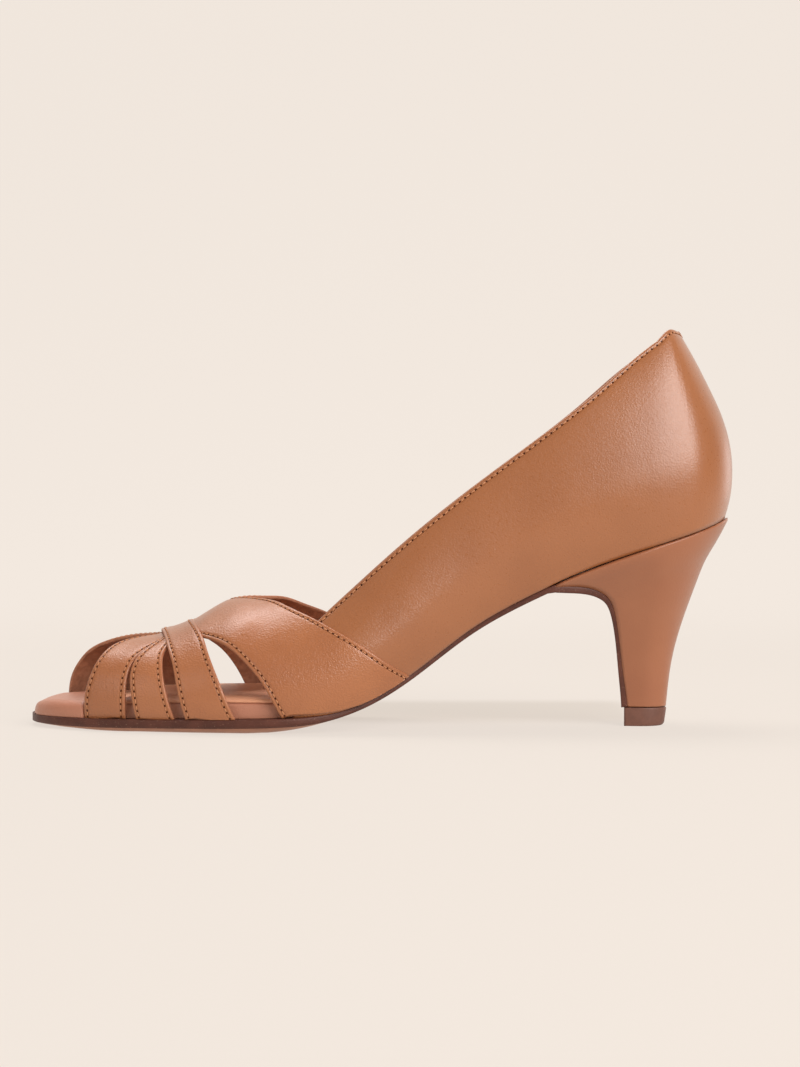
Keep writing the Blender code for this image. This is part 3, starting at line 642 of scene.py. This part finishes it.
class Seams:
    """Collects every row's threads and holes, each as a middle and three half axes."""

    def __init__(self):
        self.threads = []
        self.holes = []

    def sew(self, line, toward, level, pitch=STITCH_PITCH):
        inner = line + steps_across(line, toward) * STITCH_INSET
        inner[:, 1] = np.clip(inner[:, 1], -1, 1)
        lift = level + crease_lift(inner[:, 0], inner[:, 1]) - 0.5 * GROOVE
        points = wall_point(inner[:, 0], inner[:, 1], lift)
        normals = outward(inner[:, 0], inner[:, 1])
        run = np.concatenate([[0], np.cumsum(np.linalg.norm(np.diff(points, axis=0), axis=1))])
        count = int((run[-1] - 2 * SEAM_END) / pitch)
        stops = np.linspace(SEAM_END, run[-1] - SEAM_END, count + 1)
        spots = np.stack([np.interp(stops, run, points[:, k]) for k in range(3)], axis=1)
        faces = unit(np.stack([np.interp(stops, run, normals[:, k]) for k in range(3)], axis=1))
        for spot, after, face, face_after in zip(spots, spots[1:], faces, faces[1:]):
            run = after - spot
            up = unit(face + face_after)
            side = unit(np.cross(up, run))
            axes = run * THREAD_REACH, side * THREAD * 0.5, up * THREAD * THREAD_HEIGHT
            self.threads.append((0.5 * (spot + after) + up * THREAD_LIFT, *axes))
        for spot, face in zip(spots, faces):
            side = unit(np.cross(face, (0.3, 0.2, 0.9)))
            axes = face * HOLE_DEPTH, side * HOLE, np.cross(face, side) * HOLE
            self.holes.append((spot + face * HOLE_LIFT, *axes))


def make_grains(name, places, sides, rings, material):
    """One piece of many small ellipsoids."""
    ball = [(-1.0, 0.0, 0.0)]
    for turn in np.linspace(0, math.pi, rings + 1)[1:-1]:
        for angle in np.linspace(0, 2 * math.pi, sides + 1)[:-1]:
            out = math.sin(turn)
            ball.append((-math.cos(turn), out * math.cos(angle), out * math.sin(angle)))
    ball.append((1.0, 0.0, 0.0))
    last = len(ball) - 1
    faces = []
    for k in range(sides):
        j = (k + 1) % sides
        faces.append((0, 1 + j, 1 + k))
        for a in range(1, last - sides, sides):
            faces.append((a + k, a + j, a + sides + j, a + sides + k))
        faces.append((last - sides + k, last - sides + j, last))
    points = np.concatenate([middle + np.array(ball) @ np.array(axes) for middle, *axes in places])
    starts = range(0, len(points), len(ball))
    faces = [tuple(start + i for i in face) for start in starts for face in faces]
    make_piece(name, points, faces, [material], [0] * len(faces))


# Materials

def srgb(red, green, blue):
    """Linear colour from a colour as it is seen, 0 to 255."""
    return tuple(((c / 255 + 0.055) / 1.055) ** 2.4 for c in (red, green, blue))


class Surface:
    """A material and its nodes, on coordinates that are fixed to the piece."""

    def __init__(self, name):
        self.material = bpy.data.materials.new(name)
        self.material.use_nodes = True
        self.tree = self.material.node_tree
        self.coordinates = self.node("TexCoord").outputs["Object"]

    def node(self, kind):
        return self.tree.nodes.new("ShaderNode" + kind)

    def put(self, node, sockets):
        """Sets each socket to a value or a colour, or links an output to it."""
        for name, value in sockets.items():
            if isinstance(value, bpy.types.NodeSocket):
                self.tree.links.new(value, node.inputs[name])
            elif isinstance(value, tuple):
                node.inputs[name].default_value = (*value, 1.0)
            else:
                node.inputs[name].default_value = value

    def shade(self, sockets):
        self.put(self.tree.nodes["Principled BSDF"], sockets)

    def noise(self, scale, detail, roughness):
        noise = self.node("TexNoise")
        self.put(noise, {"Scale": scale, "Detail": detail, "Roughness": roughness})
        self.put(noise, {"Vector": self.coordinates})
        return noise.outputs["Fac"]

    def cells(self, scale, smoothness):
        cells = self.node("TexVoronoi")
        cells.feature = "SMOOTH_F1"
        self.put(cells, {"Scale": scale, "Smoothness": smoothness, "Randomness": 1.0})
        self.put(cells, {"Vector": self.coordinates})
        return cells.outputs["Distance"]

    def mixed(self, factor, first, second):
        mix = self.node("Mix")
        mix.data_type = "RGBA"
        # The colours have sockets 6 and 7 and output 2
        self.put(mix, {0: factor, 6: first, 7: second})
        return mix.outputs[2]

    def product(self, first, second):
        product = self.node("Math")
        product.operation = "MULTIPLY"
        self.put(product, {0: first, 1: second})
        return product.outputs["Value"]

    def ranged(self, value, low, high, to_low=0.0, to_high=1.0):
        span = self.node("MapRange")
        self.put(span, {"Value": value, "From Min": low, "From Max": high})
        self.put(span, {"To Min": to_low, "To Max": to_high})
        return span.outputs["Result"]

    def eased(self, value, low, high):
        """A smooth step from 0 to 1 as a value goes from low to high. Low may be the larger."""
        result = self.ranged(value, low, high)
        result.node.interpolation_type = "SMOOTHSTEP"
        return result

    def bumped(self, *layers):
        """Stacks bumps. Each layer is a height and how deep it is in metres."""
        normal = None
        for height, depth in layers:
            bump = self.node("Bump")
            self.put(bump, {"Height": height, "Distance": depth, "Strength": 1.0})
            if normal is not None:
                self.put(bump, {"Normal": normal})
            normal = bump.outputs["Normal"]
        return normal


def leather(name, tan, deep, roughness, grain_depth, coat, coat_roughness=0.28):
    """Smooth finished leather: soft cloudy colour, fine pebbled grain and tiny pores."""
    surface = Surface(name)
    deep = srgb(*deep)
    clouds = surface.ranged(surface.noise(38.0, 3.0, 0.55), 0.35, 0.68)
    fine = surface.noise(900.0, 2.0, 0.6)
    pores = surface.ranged(fine, 0.58, 0.78, 0.0, 0.02)
    colour = surface.mixed(clouds, srgb(*tan), deep)
    wrinkles = surface.noise(260.0, 4.0, 0.6)
    grain = surface.cells(1700.0, 0.6)
    surface.shade(
        {
            "Base Color": surface.mixed(pores, colour, tuple(0.55 * c for c in deep)),
            "Roughness": surface.ranged(fine, 0.3, 0.7, roughness - 0.05, roughness + 0.06),
            "Normal": surface.bumped((wrinkles, 1.5 * grain_depth), (grain, 1.1 * grain_depth)),
            "Coat Weight": coat,
            "Coat Roughness": coat_roughness,
            "Specular IOR Level": 0.5,
        }
    )
    return surface.material


def matt(name, colour, deep, roughness, scale, depth, shine=0.4, speck=None):
    """A matt surface with two close tones and a fine bump. It may have a few pale specks."""
    surface = Surface(name)
    tone = surface.noise(scale, 4.0, 0.6)
    base = surface.mixed(surface.ranged(tone, 0.35, 0.65), srgb(*colour), srgb(*deep))
    layers = [(tone, depth)]
    if speck:
        dots = surface.noise(2600.0, 2.0, 0.5)
        base = surface.mixed(surface.ranged(dots, 0.66, 0.76, 0.0, 0.6), base, srgb(*speck))
        layers.append((dots, 0.00005))
    surface.shade({"Base Color": base, "Normal": surface.bumped(*layers)})
    surface.shade({"Roughness": roughness, "Specular IOR Level": shine})
    return surface.material


# Columns: name, two tones as they are seen, roughness, depth of the grain in metres, coat, its
# roughness
TAN = leather("tan_leather", (155, 97, 58), (149, 92, 54), 0.31, 0.00004, 0.42)
VAMP_TAN = leather("vamp_leather", (166, 104, 63), (156, 95, 56), 0.36, 0.00011, 0.34, 0.34)
HEEL_TAN = leather("heel_leather", (156, 99, 67), (150, 93, 62), 0.38, 0.00002, 0.18)
BED_TAN = leather("bed_leather", (188, 128, 102), (180, 120, 94), 0.46, 0.00007, 0.08)
# The sock's own tan, made paler as painted light to make up for the shade it lies in inside the
# shoe
SOCK_TAN_LIGHTENED = leather("sock_leather", (226, 164, 128), (216, 152, 117), 0.50, 0.00004, 0.0)
# The lining's own pale tan, made paler still as painted light to make up for the shade inside the
# shoe
# Columns: name, two tones, roughness, scale of the clouds, depth of the bump, shine, specks
LINING_LIGHTENED = matt("lining", (168, 116, 88), (142, 95, 70), 0.55, 420.0, 0.00030)
CUT_EDGE = matt("cut_edge", (176, 116, 84), (158, 100, 70), 0.55, 900.0, 0.00005)
THREAD_TAN = matt("thread", (190, 134, 96), (172, 118, 82), 0.6, 2500.0, 0.00005, 0.2)
# The stitch holes' dark brown is painted shade, for the depth of each hole round its thread
HOLE_PAINTED_SHADE = matt("stitch_hole", (86, 46, 28), (64, 32, 19), 0.9, 900.0, 0.00002, 0.05)
SOLE_BROWN = matt(
    "sole_edge", (92, 52, 40), (76, 42, 32), 0.5, 160.0, 0.00012, 0.3, (176, 140, 118)
)
UNDERSIDE = matt("underside", (166, 110, 80), (148, 96, 68), 0.5, 300.0, 0.00006)
TIP_BROWN = matt("tip", (112, 74, 60), (98, 64, 52), 0.5, 240.0, 0.00006)


# Pieces

def make_straps(seams):
    made = []
    # Columns: name, name of its edges, level of its face, columns between the edges
    for name, edges, level, middle in (
        ("toe_strap", "toe", LINED_LEATHER, 14),
        ("second_strap", "mid", LAPPED_LEATHER, 14),
        ("crossed_strap", "cross", CROSSED_LEATHER, 16),
        ("vamp_band", "band", LAPPED_LEATHER, 60),
    ):
        front = edge_line(edges + "_front")
        back = edge_line(edges + "_back")
        made.append(leather_sheet(name, front, back, level, VAMP_TAN, middle))
        seams.sew(front, back, level)
        seams.sew(back, front, level)
    return made


def make_quarters(seams):
    made = []
    for side, name in ((-1, "outer_quarter"), (1, "inner_quarter")):
        top = collar_line(side, 170)
        foot = np.stack([top[:, 0], np.full(len(top), float(side))], axis=1)
        made.append(leather_sheet(name, top, foot, LINED_LEATHER, TAN, 44, back_cut=False))
        seams.sew(top, foot, LINED_LEATHER, COLLAR_PITCH)
    return made


def outline(along, side, margin):
    """Half width of the last's bottom on one side (-1 outer, +1 inner), as a signed Y."""
    section = min(along, HEEL_CENTRE)
    half = max(float(half_share(section) * BALL_WIDTH + margin), LEAST_HALF)
    return shift_share(section) * BALL_WIDTH + side * half * math.cos(fan_angle(along))


def tip_rise(share):
    low = TOP_PIECE_HEIGHT + CLEARANCE
    return low + (SEAT_HEIGHT - low) * share


def heel_half_width(share):
    seat = half_share(HEEL_CENTRE) * BALL_WIDTH + LINED_LEATHER + HEEL_RIM
    return 0.5 * TIP_WIDTH + (seat - 0.5 * TIP_WIDTH) * share


def front_fullness(share):
    """Width of the heel's breast as a share of the section's, a little more where it is wide."""
    return BREAST_WIDTH + BREAST_WIDENING * share


def heel_column(column, t):
    """A column of the heel's table at a share of the way from seat (0) to tip (1)."""
    table = [(i / (len(HEEL) - 1), row[column]) for i, row in enumerate(HEEL)]
    return float(smooth_curve(table)(t))


def toe_stations(reach, count, power, start):
    """Places from the tip of the toe on, closest together at the tip."""
    return [reach * (i / count) ** power + start for i in range(count + 1)]


def sole_stations():
    """Stations under the last and down the heel's breast. Each has a point in X and Z, its reach
    in Y, its depths at the middle and at the edge, and the gap above it."""
    middle, edge, margin = (smooth_curve(SOLE, column) for column in (1, 2, 3))
    stations = []
    body = np.linspace(0.115, HEEL[0][0] - 0.012, 110)
    for along in toe_stations(0.11, 30, 2, 0.0004) + list(body):
        out = float(margin(along)) * SOLE_MARGIN * min(1.0, math.sqrt(along / TOE_CAP))
        point = (place(along), feather_height(along))
        reach = outline(along, -1, out), outline(along, 1, out)
        depths = float(middle(along)) * TREAD, float(edge(along)) * SOLE_EDGE
        stations.append((point, reach, *depths, 0.0))
    for t in np.linspace(0, 1, 60):
        point = (place(heel_column(0, t)), tip_rise(heel_column(1, t)))
        half = heel_half_width(heel_column(4, t)) * front_fullness(heel_column(4, t))
        depth = heel_column(5, t) * SHANK_SOLE + CLEARANCE
        stations.append((point, (-half, half), depth, depth, FLAP_GAP))
    return stations


def breast_turn(x):
    """How far a section is turned at an X: not at all up to the arch, and fully at the breast."""
    start = place(TURN_START)
    return BREAST_TURN * smooth_step((x - start) / (place(HEEL[0][0]) - start))


def make_outsole():
    stations = sole_stations()
    line = np.array([station[0] for station in stations])
    ahead = unit(np.gradient(line, axis=0))
    under = np.stack([ahead[:, 1], -ahead[:, 0]], axis=1)
    # Shares of half width over the top, and over the tread, closest together at its edges
    across = np.linspace(-0.97, 0.97, 9)
    belly = np.sin(np.linspace(0.49, -0.49, 25) * math.pi) * 0.985
    spring_length = TOE_SPRING_REACH * LENGTH
    # The edge's section. Columns: share of half width, share of the edge's depth
    edge_rows = ((0.99, 0.0), (1.0, 0.10), (1.0, 0.35), (1.0, 0.60), (1.0, 0.84), (0.993, 0.95))
    rings = []
    for (point, reach, middle, edge, gap), down in zip(stations, under):
        past_breast = (point[0] - place(HEEL[0][0])) / (place(HEEL[1][0]) - place(HEEL[0][0]))
        bottom_share = float(np.clip(1 - past_breast, 0, 1)) if gap else 1.0

        def spot(u, depth):
            y = 0.5 * (reach[0] + reach[1]) + 0.5 * (reach[1] - reach[0]) * u
            turned = breast_turn(point[0]) * (y - reach[0])
            x = point[0] + down[0] * (depth + gap) + turned
            z = point[1] + down[1] * (depth + gap)
            along = along_of(point[0])
            z += bottom_share * (feather_height(along + turned / LENGTH) - feather_height(along))
            spring = TOE_SPRING * max(0.0, 1 - (x - place(0)) / spring_length) ** SPRING_CURVE
            return (x, y, max(z, spring))

        ring = [spot(u, 0.0) for u in across]
        ring += [spot(u, share * edge) for u, share in edge_rows]
        ring += [spot(u, edge + (middle - edge) * (1 - abs(u) ** TREAD_FLATNESS)) for u in belly]
        ring += [spot(-u, share * edge) for u, share in reversed(edge_rows)]
        rings.append(ring)
    first_belly = len(across) + len(edge_rows)
    slots = np.zeros(len(rings[0]), int)
    slots[first_belly : first_belly + len(belly) - 1] = 1
    piece = closed_tube("outsole_look", rings, [SOLE_BROWN, UNDERSIDE], slots)
    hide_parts("outsole")


def bed_stations():
    body = list(np.linspace(0.135, HEEL_CENTRE, 110))
    fan = list(np.linspace(HEEL_CENTRE, BACK_SEAM - 0.02 * FAN_LENGTH, 26)[1:])
    return toe_stations(0.13, 90, 1.6, 0.0003) + body + fan


def bed_margin(along, side):
    """How far the footbed stands outside the last: proud of it at the open toe alone."""
    edge = float(edge_curves["toe_front"](side))
    ease = float(smooth_step((edge + WRAP_START - along) / WRAP_FADE))
    proud = (SOLE_MARGIN - SOLE_STEP) * min(1.0, math.sqrt(along / TOE_CAP))
    return -CLEARANCE + (proud + CLEARANCE) * ease


def bed_ring(along, low, high, inset, cup, rounding, shoulder):
    """A section with full round shoulders, from a low to a high level over the feather."""
    turn = math.sin(fan_angle(along))
    section = min(along, HEEL_CENTRE)
    foot = feather_height(section + SEAT_RADIUS * turn / LENGTH)
    rounding = min(rounding, 0.8 * (high - low))
    outer = outline(along, -1, bed_margin(along, -1) - inset)
    inner = outline(along, 1, bed_margin(along, 1) - inset)
    middle = 0.5 * (outer + inner)
    half = 0.5 * (inner - outer)
    x = place(section) + (SEAT_RADIUS - CLEARANCE - inset) * turn
    x += (SOLE_STEP + inset) * max(0.0, 1 - along / TOE_CAP)
    # The top comes down round the toe in a full curve
    nose = max(0.0, 1 - along / NOSE_REACH)
    high -= NOSE_DROP * (high - low) * (1 - math.sqrt(1 - nose * nose))
    # Half a section, from its foot out, up round the shoulder and in. Columns: reach, level
    corner = min(shoulder, 0.6 * half)
    rows = [(0.5 * half, low), (half - 0.02 * corner, low), (half, low + 0.25)]
    for c, s in arc(90, 9):
        rows.append((half - corner * (1 - c), high - rounding * (1 - s)))
    for share in (0.9, 0.7, 0.5, 0.3, 0.1):
        rows.append(((half - corner) * share, high - cup * (1 - share**2)))
    ring = [(x, middle - reach, foot + level) for reach, level in rows]
    return ring + [(x, middle + reach, foot + level) for reach, level in reversed(rows)]


def bed_top(along):
    return float(bed_depth(min(along, HEEL_CENTRE))) * FOOTBED


def toe_share(along):
    """1 at the open toe and 0 from the first strap on, where the sock has its full thickness."""
    return 1 - float(smooth_step((along - TOE_OPEN) / (TOE_COVERED - TOE_OPEN)))


def blend(share, covered, at_toe):
    return covered + (at_toe - covered) * share


def make_footbed():
    """The wrapped platform. At the open toe its wrap goes over the whole of it as one soft nose."""
    rings = []
    for along in bed_stations():
        toe = toe_share(along)
        high = bed_top(along) + (CLEARANCE + TOE_SOCK + NOSE_OVER) * toe
        shoulders = blend(toe, *BED_ROUNDING), blend(toe, *BED_SHOULDER)
        rings.append(bed_ring(along, SEATED, high, 0.0, 0.0, *shoulders))
    piece = closed_tube("footbed_look", rings, [BED_TAN])
    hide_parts("footbed")


def make_sock():
    rings = []
    for along in bed_stations():
        toe = toe_share(along)
        low = bed_top(along) + blend(toe, SEATED, SOCK_FOOT_AT_TOE)
        high = bed_top(along) + blend(toe, CLEARANCE + SOCK, SOCK_TOP_AT_TOE)
        inset = blend(toe, *SOCK_INSET)
        cup = SOCK_CUP * (1 - toe)
        rings.append(bed_ring(along, low, high, inset, cup, SOCK_ROUNDING, SOCK_SHOULDER))
    piece = closed_tube("sock_look", rings, [SOCK_TAN_LIGHTENED])
    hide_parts("sock")


def heel_ring(front, back, half, width_share):
    """One section of the heel, from its breast round its back. It leans between front and back."""
    ring = []
    for i in range(HEEL_STEPS):
        toward_back = math.sin(0.5 * math.pi * i / (HEEL_STEPS - 1))
        past_shoulder = max(0.0, (toward_back - HEEL_SHOULDER) / (1 - HEEL_SHOULDER))
        before_shoulder = max(0.0, (HEEL_SHOULDER - toward_back) / HEEL_SHOULDER)
        round_back = math.sqrt(max(0.0, 1 - past_shoulder**2))
        narrowing = 1 - (1 - front_fullness(width_share)) * before_shoulder**1.5
        width = max(half * round_back * narrowing, 0.02)
        x = front[0] + (back[0] - front[0]) * toward_back
        z = front[1] + (back[1] - front[1]) * toward_back
        turned = 2 * BREAST_TURN * width * (1 - toward_back)
        ring.append((x, width, z, turned))
    outer = [(x, -y, z) for x, y, z, _ in ring]
    return outer + [(x + turned, y, z) for x, y, z, turned in reversed(ring)]


def make_heel():
    centre = place(HEEL_CENTRE)
    drawn_in = SEAT_RADIUS / (place(HEEL[0][2]) - centre)

    def seat_over(x):
        """The seat's height over an X of the heel, which reaches further back than the last."""
        return feather_height(along_of(x if x < centre else centre + (x - centre) * drawn_in))

    # The cover turns in over the seat with a round shoulder. Columns: place from seat (0) to tip
    # (1), share of the width, dip
    sections = [
        (0.0, 0.90, 0.0),
        (0.0, 0.94, 0.02),
        (0.0, 0.965, 0.12),
        (0.002, 0.985, 0.30),
        (0.006, 0.997, 0.5),
    ]
    for t in 0.012 + 0.988 * np.linspace(0, 1, 92) ** 1.2:
        sections.append((t, 1.0, RIM_DIP * max(0.0, 1 - t / RIM_FADE) ** 2))
    rings = []
    for t, spread, dip in sections:
        share = heel_column(4, t)
        ring = heel_ring(
            (place(heel_column(0, t)), tip_rise(heel_column(1, t))),
            (place(heel_column(2, t)), tip_rise(heel_column(3, t))),
            heel_half_width(share) * spread,
            share,
        )
        # The seat follows the bottom of the last and straightens below it
        seat_share = max(0.0, 1 - t / SEAT_BEND) ** 2
        front_x = ring[0][0]
        back_x = ring[len(ring) // 2 - 1][0]
        front_seat = seat_over(front_x)
        back_seat = seat_over(back_x)
        bent = []
        for x, y, z in ring:
            chord = front_seat + (back_seat - front_seat) * (x - front_x) / (back_x - front_x)
            bent.append((x, y, z + (seat_over(x) - chord) * seat_share - dip))
        rings.append(bent)
    piece = closed_tube("heel_look", rings, [HEEL_TAN])
    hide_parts("heel")


def make_top_piece():
    front, _, back, *_ = HEEL[-1]
    ahead = place(front) - TIP_FRONT
    behind = place(back) + TIP_OVERHANG
    half = 0.5 * TIP_WIDTH + TIP_OVERHANG
    # Columns: height and how far the back is drawn in
    sections = [
        (TOP_PIECE_HEIGHT, 0.35),
        (TOP_PIECE_HEIGHT - 0.2, 0.08),
        (TOP_PIECE_HEIGHT - 0.6, 0.0),
    ]
    for c, s in arc(90, 9):
        sections.append((TIP_ROUNDING * (1 - s), TIP_ROUNDING * (0.3 + 0.75 * (1 - c))))
    rings = []
    for height, drawn in sections:
        rings.append(heel_ring((ahead, height), (behind - drawn, height), half - 0.3 * drawn, 0.0))
    piece = closed_tube("top_piece_look", rings, [TIP_BROWN])
    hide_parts("top_piece")


def make_back_tab():
    """A narrow strip of leather folded over the collar at the back seam."""
    top = float(collar_girth(BACK_SEAM))
    foot = top + TAB_DROP / (BACK_SEAM_CURL * (LAST_HEIGHT - SEAT_HEIGHT))
    width_at_top = float(half_share(HEEL_CENTRE) * BALL_WIDTH * COLLAR_WIDTH_SHARE)
    middle_lift = 0.5 * LINED_LEATHER
    radius = 0.5 * LINED_LEATHER + 0.3 * TAB_LEATHER
    # Up the inside, over the collar and down the outside. Columns: girth, lift, rise
    climb = [foot * share + top * (1 - share) for share in np.linspace(1, 0, 8)]
    path = [(girth, -radius, 0.0) for girth in climb]
    path += [(top, -radius * c, radius * s * FOLD_FLATNESS) for c, s in arc(180, 9)[1:-1]]
    path += [(girth, radius, 0.0) for girth in reversed(climb)]
    across = np.linspace(-1, 1, 9)
    grid = []
    for girth, lift, rise in path:
        row = []
        for u in across:
            turn_back = math.asin(min(0.9, 0.5 * TAB_WIDTH * abs(u) / width_at_top))
            station = BACK_SEAM - FAN_LENGTH * turn_back / (math.pi / 2)
            side = 1.0 if u > 0 else -1.0
            upward = unit(
                wall_point(np.array(station), np.array(side * top), 0.0)
                - wall_point(np.array(station), np.array(side * foot), 0.0)
            )
            point = wall_point(np.array(station), np.array(side * girth), middle_lift + lift)
            row.append(point + upward * rise)
        grid.append(row)
    grid = np.array(grid)
    face = unit(np.cross(np.gradient(grid, axis=0), np.gradient(grid, axis=1)))
    # Half the thickness, rounded off toward the strip's sides
    thin = 0.5 * TAB_LEATHER * np.sqrt(np.clip(1 - (across * 0.97) ** 8, 0.05, 1))[:, None]
    rings = []
    for row, normal in zip(grid, face):
        rings.append(np.concatenate([row + normal * thin, (row - normal * thin)[::-1]]))
    piece = closed_tube("back_tab_look", rings, [TAN, CUT_EDGE], cap_slot=1)
    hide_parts("back_tab")


# The set, in metres
FLOOR_FRONT = -3.0
SWEEP_START = 0.9
SWEEP_RADIUS = 0.9
WALL_TOP = 3.5
HALF_SET = 4.0
SKY = (250, 240, 230)
SKY_STRENGTH = 0.30
PAPER = (0.130, 0.118, 0.104), (0.127, 0.115, 0.101)
FLOOR_GLOW = (0.700, 0.642, 0.588)
WALL_GLOW = (0.770, 0.706, 0.648)
# The floor's glow in front, darkened as painted shade where the light falls off
FRONT_PAINTED_SHADE = (0.20, 0.18, 0.16)
# The glow under the arch, darkened as a painted shadow
ARCH_PAINTED_SHADOW = (0.600, 0.543, 0.487)

# Columns: name, place, aimed at, size, power, colour
LIGHTS = (
    ("key_panel", (0.72, -0.86, 0.60), (0.09, 0.0, 0.09), (1.10, 0.74), 17.0, (1.0, 0.95, 0.93)),
    ("top_panel", (-0.17, 0.32, 1.05), (-0.05, 0.0, 0.03), (0.8, 0.5), 7.6, (1.0, 0.95, 0.95)),
    ("left_panel", (-0.85, -0.75, 0.45), (-0.08, 0.0, 0.02), (0.6, 0.5), 1.6, (1.0, 0.95, 0.93)),
    ("back_panel", (0.75, 0.62, 0.12), (0.11, 0.0, 0.08), (0.40, 0.22), 0.25, (1.0, 0.93, 0.95)),
    ("wall_panel", (0.0, 0.70, 1.30), (0.0, 1.75, 0.35), (2.2, 0.4), 5.0, (1.0, 0.96, 0.93)),
)


def paper():
    """Pale paper that glows a little, as when it is lit behind a product: a painted glow in one
    even tone, but for painted shade in front and a painted shadow under the arch.
    """
    surface = Surface("backdrop")
    base = surface.mixed(surface.noise(3.0, 2.0, 0.5), *PAPER)
    where = surface.node("SeparateXYZ")
    surface.put(where, {"Vector": surface.coordinates})
    x, y = where.outputs["X"], where.outputs["Y"]
    glow = surface.mixed(surface.eased(y, 0.3, 1.2), FLOOR_GLOW, WALL_GLOW)
    # The floor's glow is painted darker in front, as painted shade where the light falls off, and a
    # faint grey shadow is painted under the arch
    glow = surface.mixed(surface.eased(y, -0.85, -0.50), FRONT_PAINTED_SHADE, glow)
    # Mask of the painted shadow on the floor under the arch, between the sole and the heel
    arch = surface.eased(y, -0.004, 0.035)
    for value, low, high in ((y, 0.122, 0.088), (x, -0.075, -0.045), (x, 0.100, 0.082)):
        arch = surface.product(arch, surface.eased(value, low, high))
    glow = surface.mixed(arch, glow, ARCH_PAINTED_SHADOW)
    surface.shade({"Base Color": base, "Roughness": 0.9, "Specular IOR Level": 0.0})
    surface.shade({"Emission Color": glow, "Emission Strength": 1.0})
    return surface.material


def make_backdrop():
    """Pale floor that curves up into a wall."""
    profile = [(FLOOR_FRONT, 0.0), (SWEEP_START, 0.0)]
    for c, s in arc(90, 25)[1:]:
        profile.append((SWEEP_START + SWEEP_RADIUS * s, SWEEP_RADIUS * (1 - c)))
    profile.append((SWEEP_START + SWEEP_RADIUS, WALL_TOP))
    points = [(x, y, z) for y, z in profile for x in (-HALF_SET, HALF_SET)]
    faces = [(2 * i, 2 * i + 1, 2 * i + 3, 2 * i + 2) for i in range(len(profile) - 1)]
    mesh = bpy.data.meshes.new("backdrop")
    mesh.from_pydata(points, [], faces)
    mesh.materials.append(paper())
    mesh.shade_smooth()
    floor = linked("backdrop", mesh)


def make_lights():
    world = bpy.data.worlds.new("studio")
    world.use_nodes = True
    background = world.node_tree.nodes["Background"]
    background.inputs["Color"].default_value = (*srgb(*SKY), 1.0)
    background.inputs["Strength"].default_value = SKY_STRENGTH
    bpy.context.scene.world = world
    for name, spot, target, size, power, colour in LIGHTS:
        lamp = bpy.data.lights.new(name, "AREA")
        lamp.shape = "RECTANGLE"
        lamp.size, lamp.size_y = size
        lamp.energy = power
        lamp.color = colour
        holder = linked(name, lamp)
        x, y, z = np.array(spot) - np.array(target)
        holder.location = spot
        holder.rotation_euler = (math.atan2(math.hypot(x, y), z), 0.0, math.atan2(x, -y))


def make_camera():
    lens = bpy.data.cameras.new("camera")
    lens.sensor_width = SENSOR
    lens.lens = FOCAL_PIXELS / PHOTO_HEIGHT * SENSOR
    lens.clip_start = 0.01
    camera = linked("camera", lens)
    spot = np.array([CAMERA_ALONG, -CAMERA_DISTANCE, CAMERA_HEIGHT]) + SHIFT
    camera.location = spot * MM
    camera.rotation_euler = (math.pi / 2, 0.0, 0.0)
    bpy.context.scene.camera = camera
    bpy.context.scene.view_settings.view_transform = "Standard"


seams = Seams()
for sheet in make_straps(seams) + make_quarters(seams):
    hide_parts("upper")
make_outsole()
make_footbed()
make_sock()
make_heel()
make_top_piece()
make_back_tab()
make_grains("stitches", seams.threads, 6, 6, THREAD_TAN)
# Dark ellipsoids at the stitch holes, as painted shade
make_grains("stitch_holes", seams.holes, 8, 4, HOLE_PAINTED_SHADE)
make_backdrop()
make_lights()
make_camera()
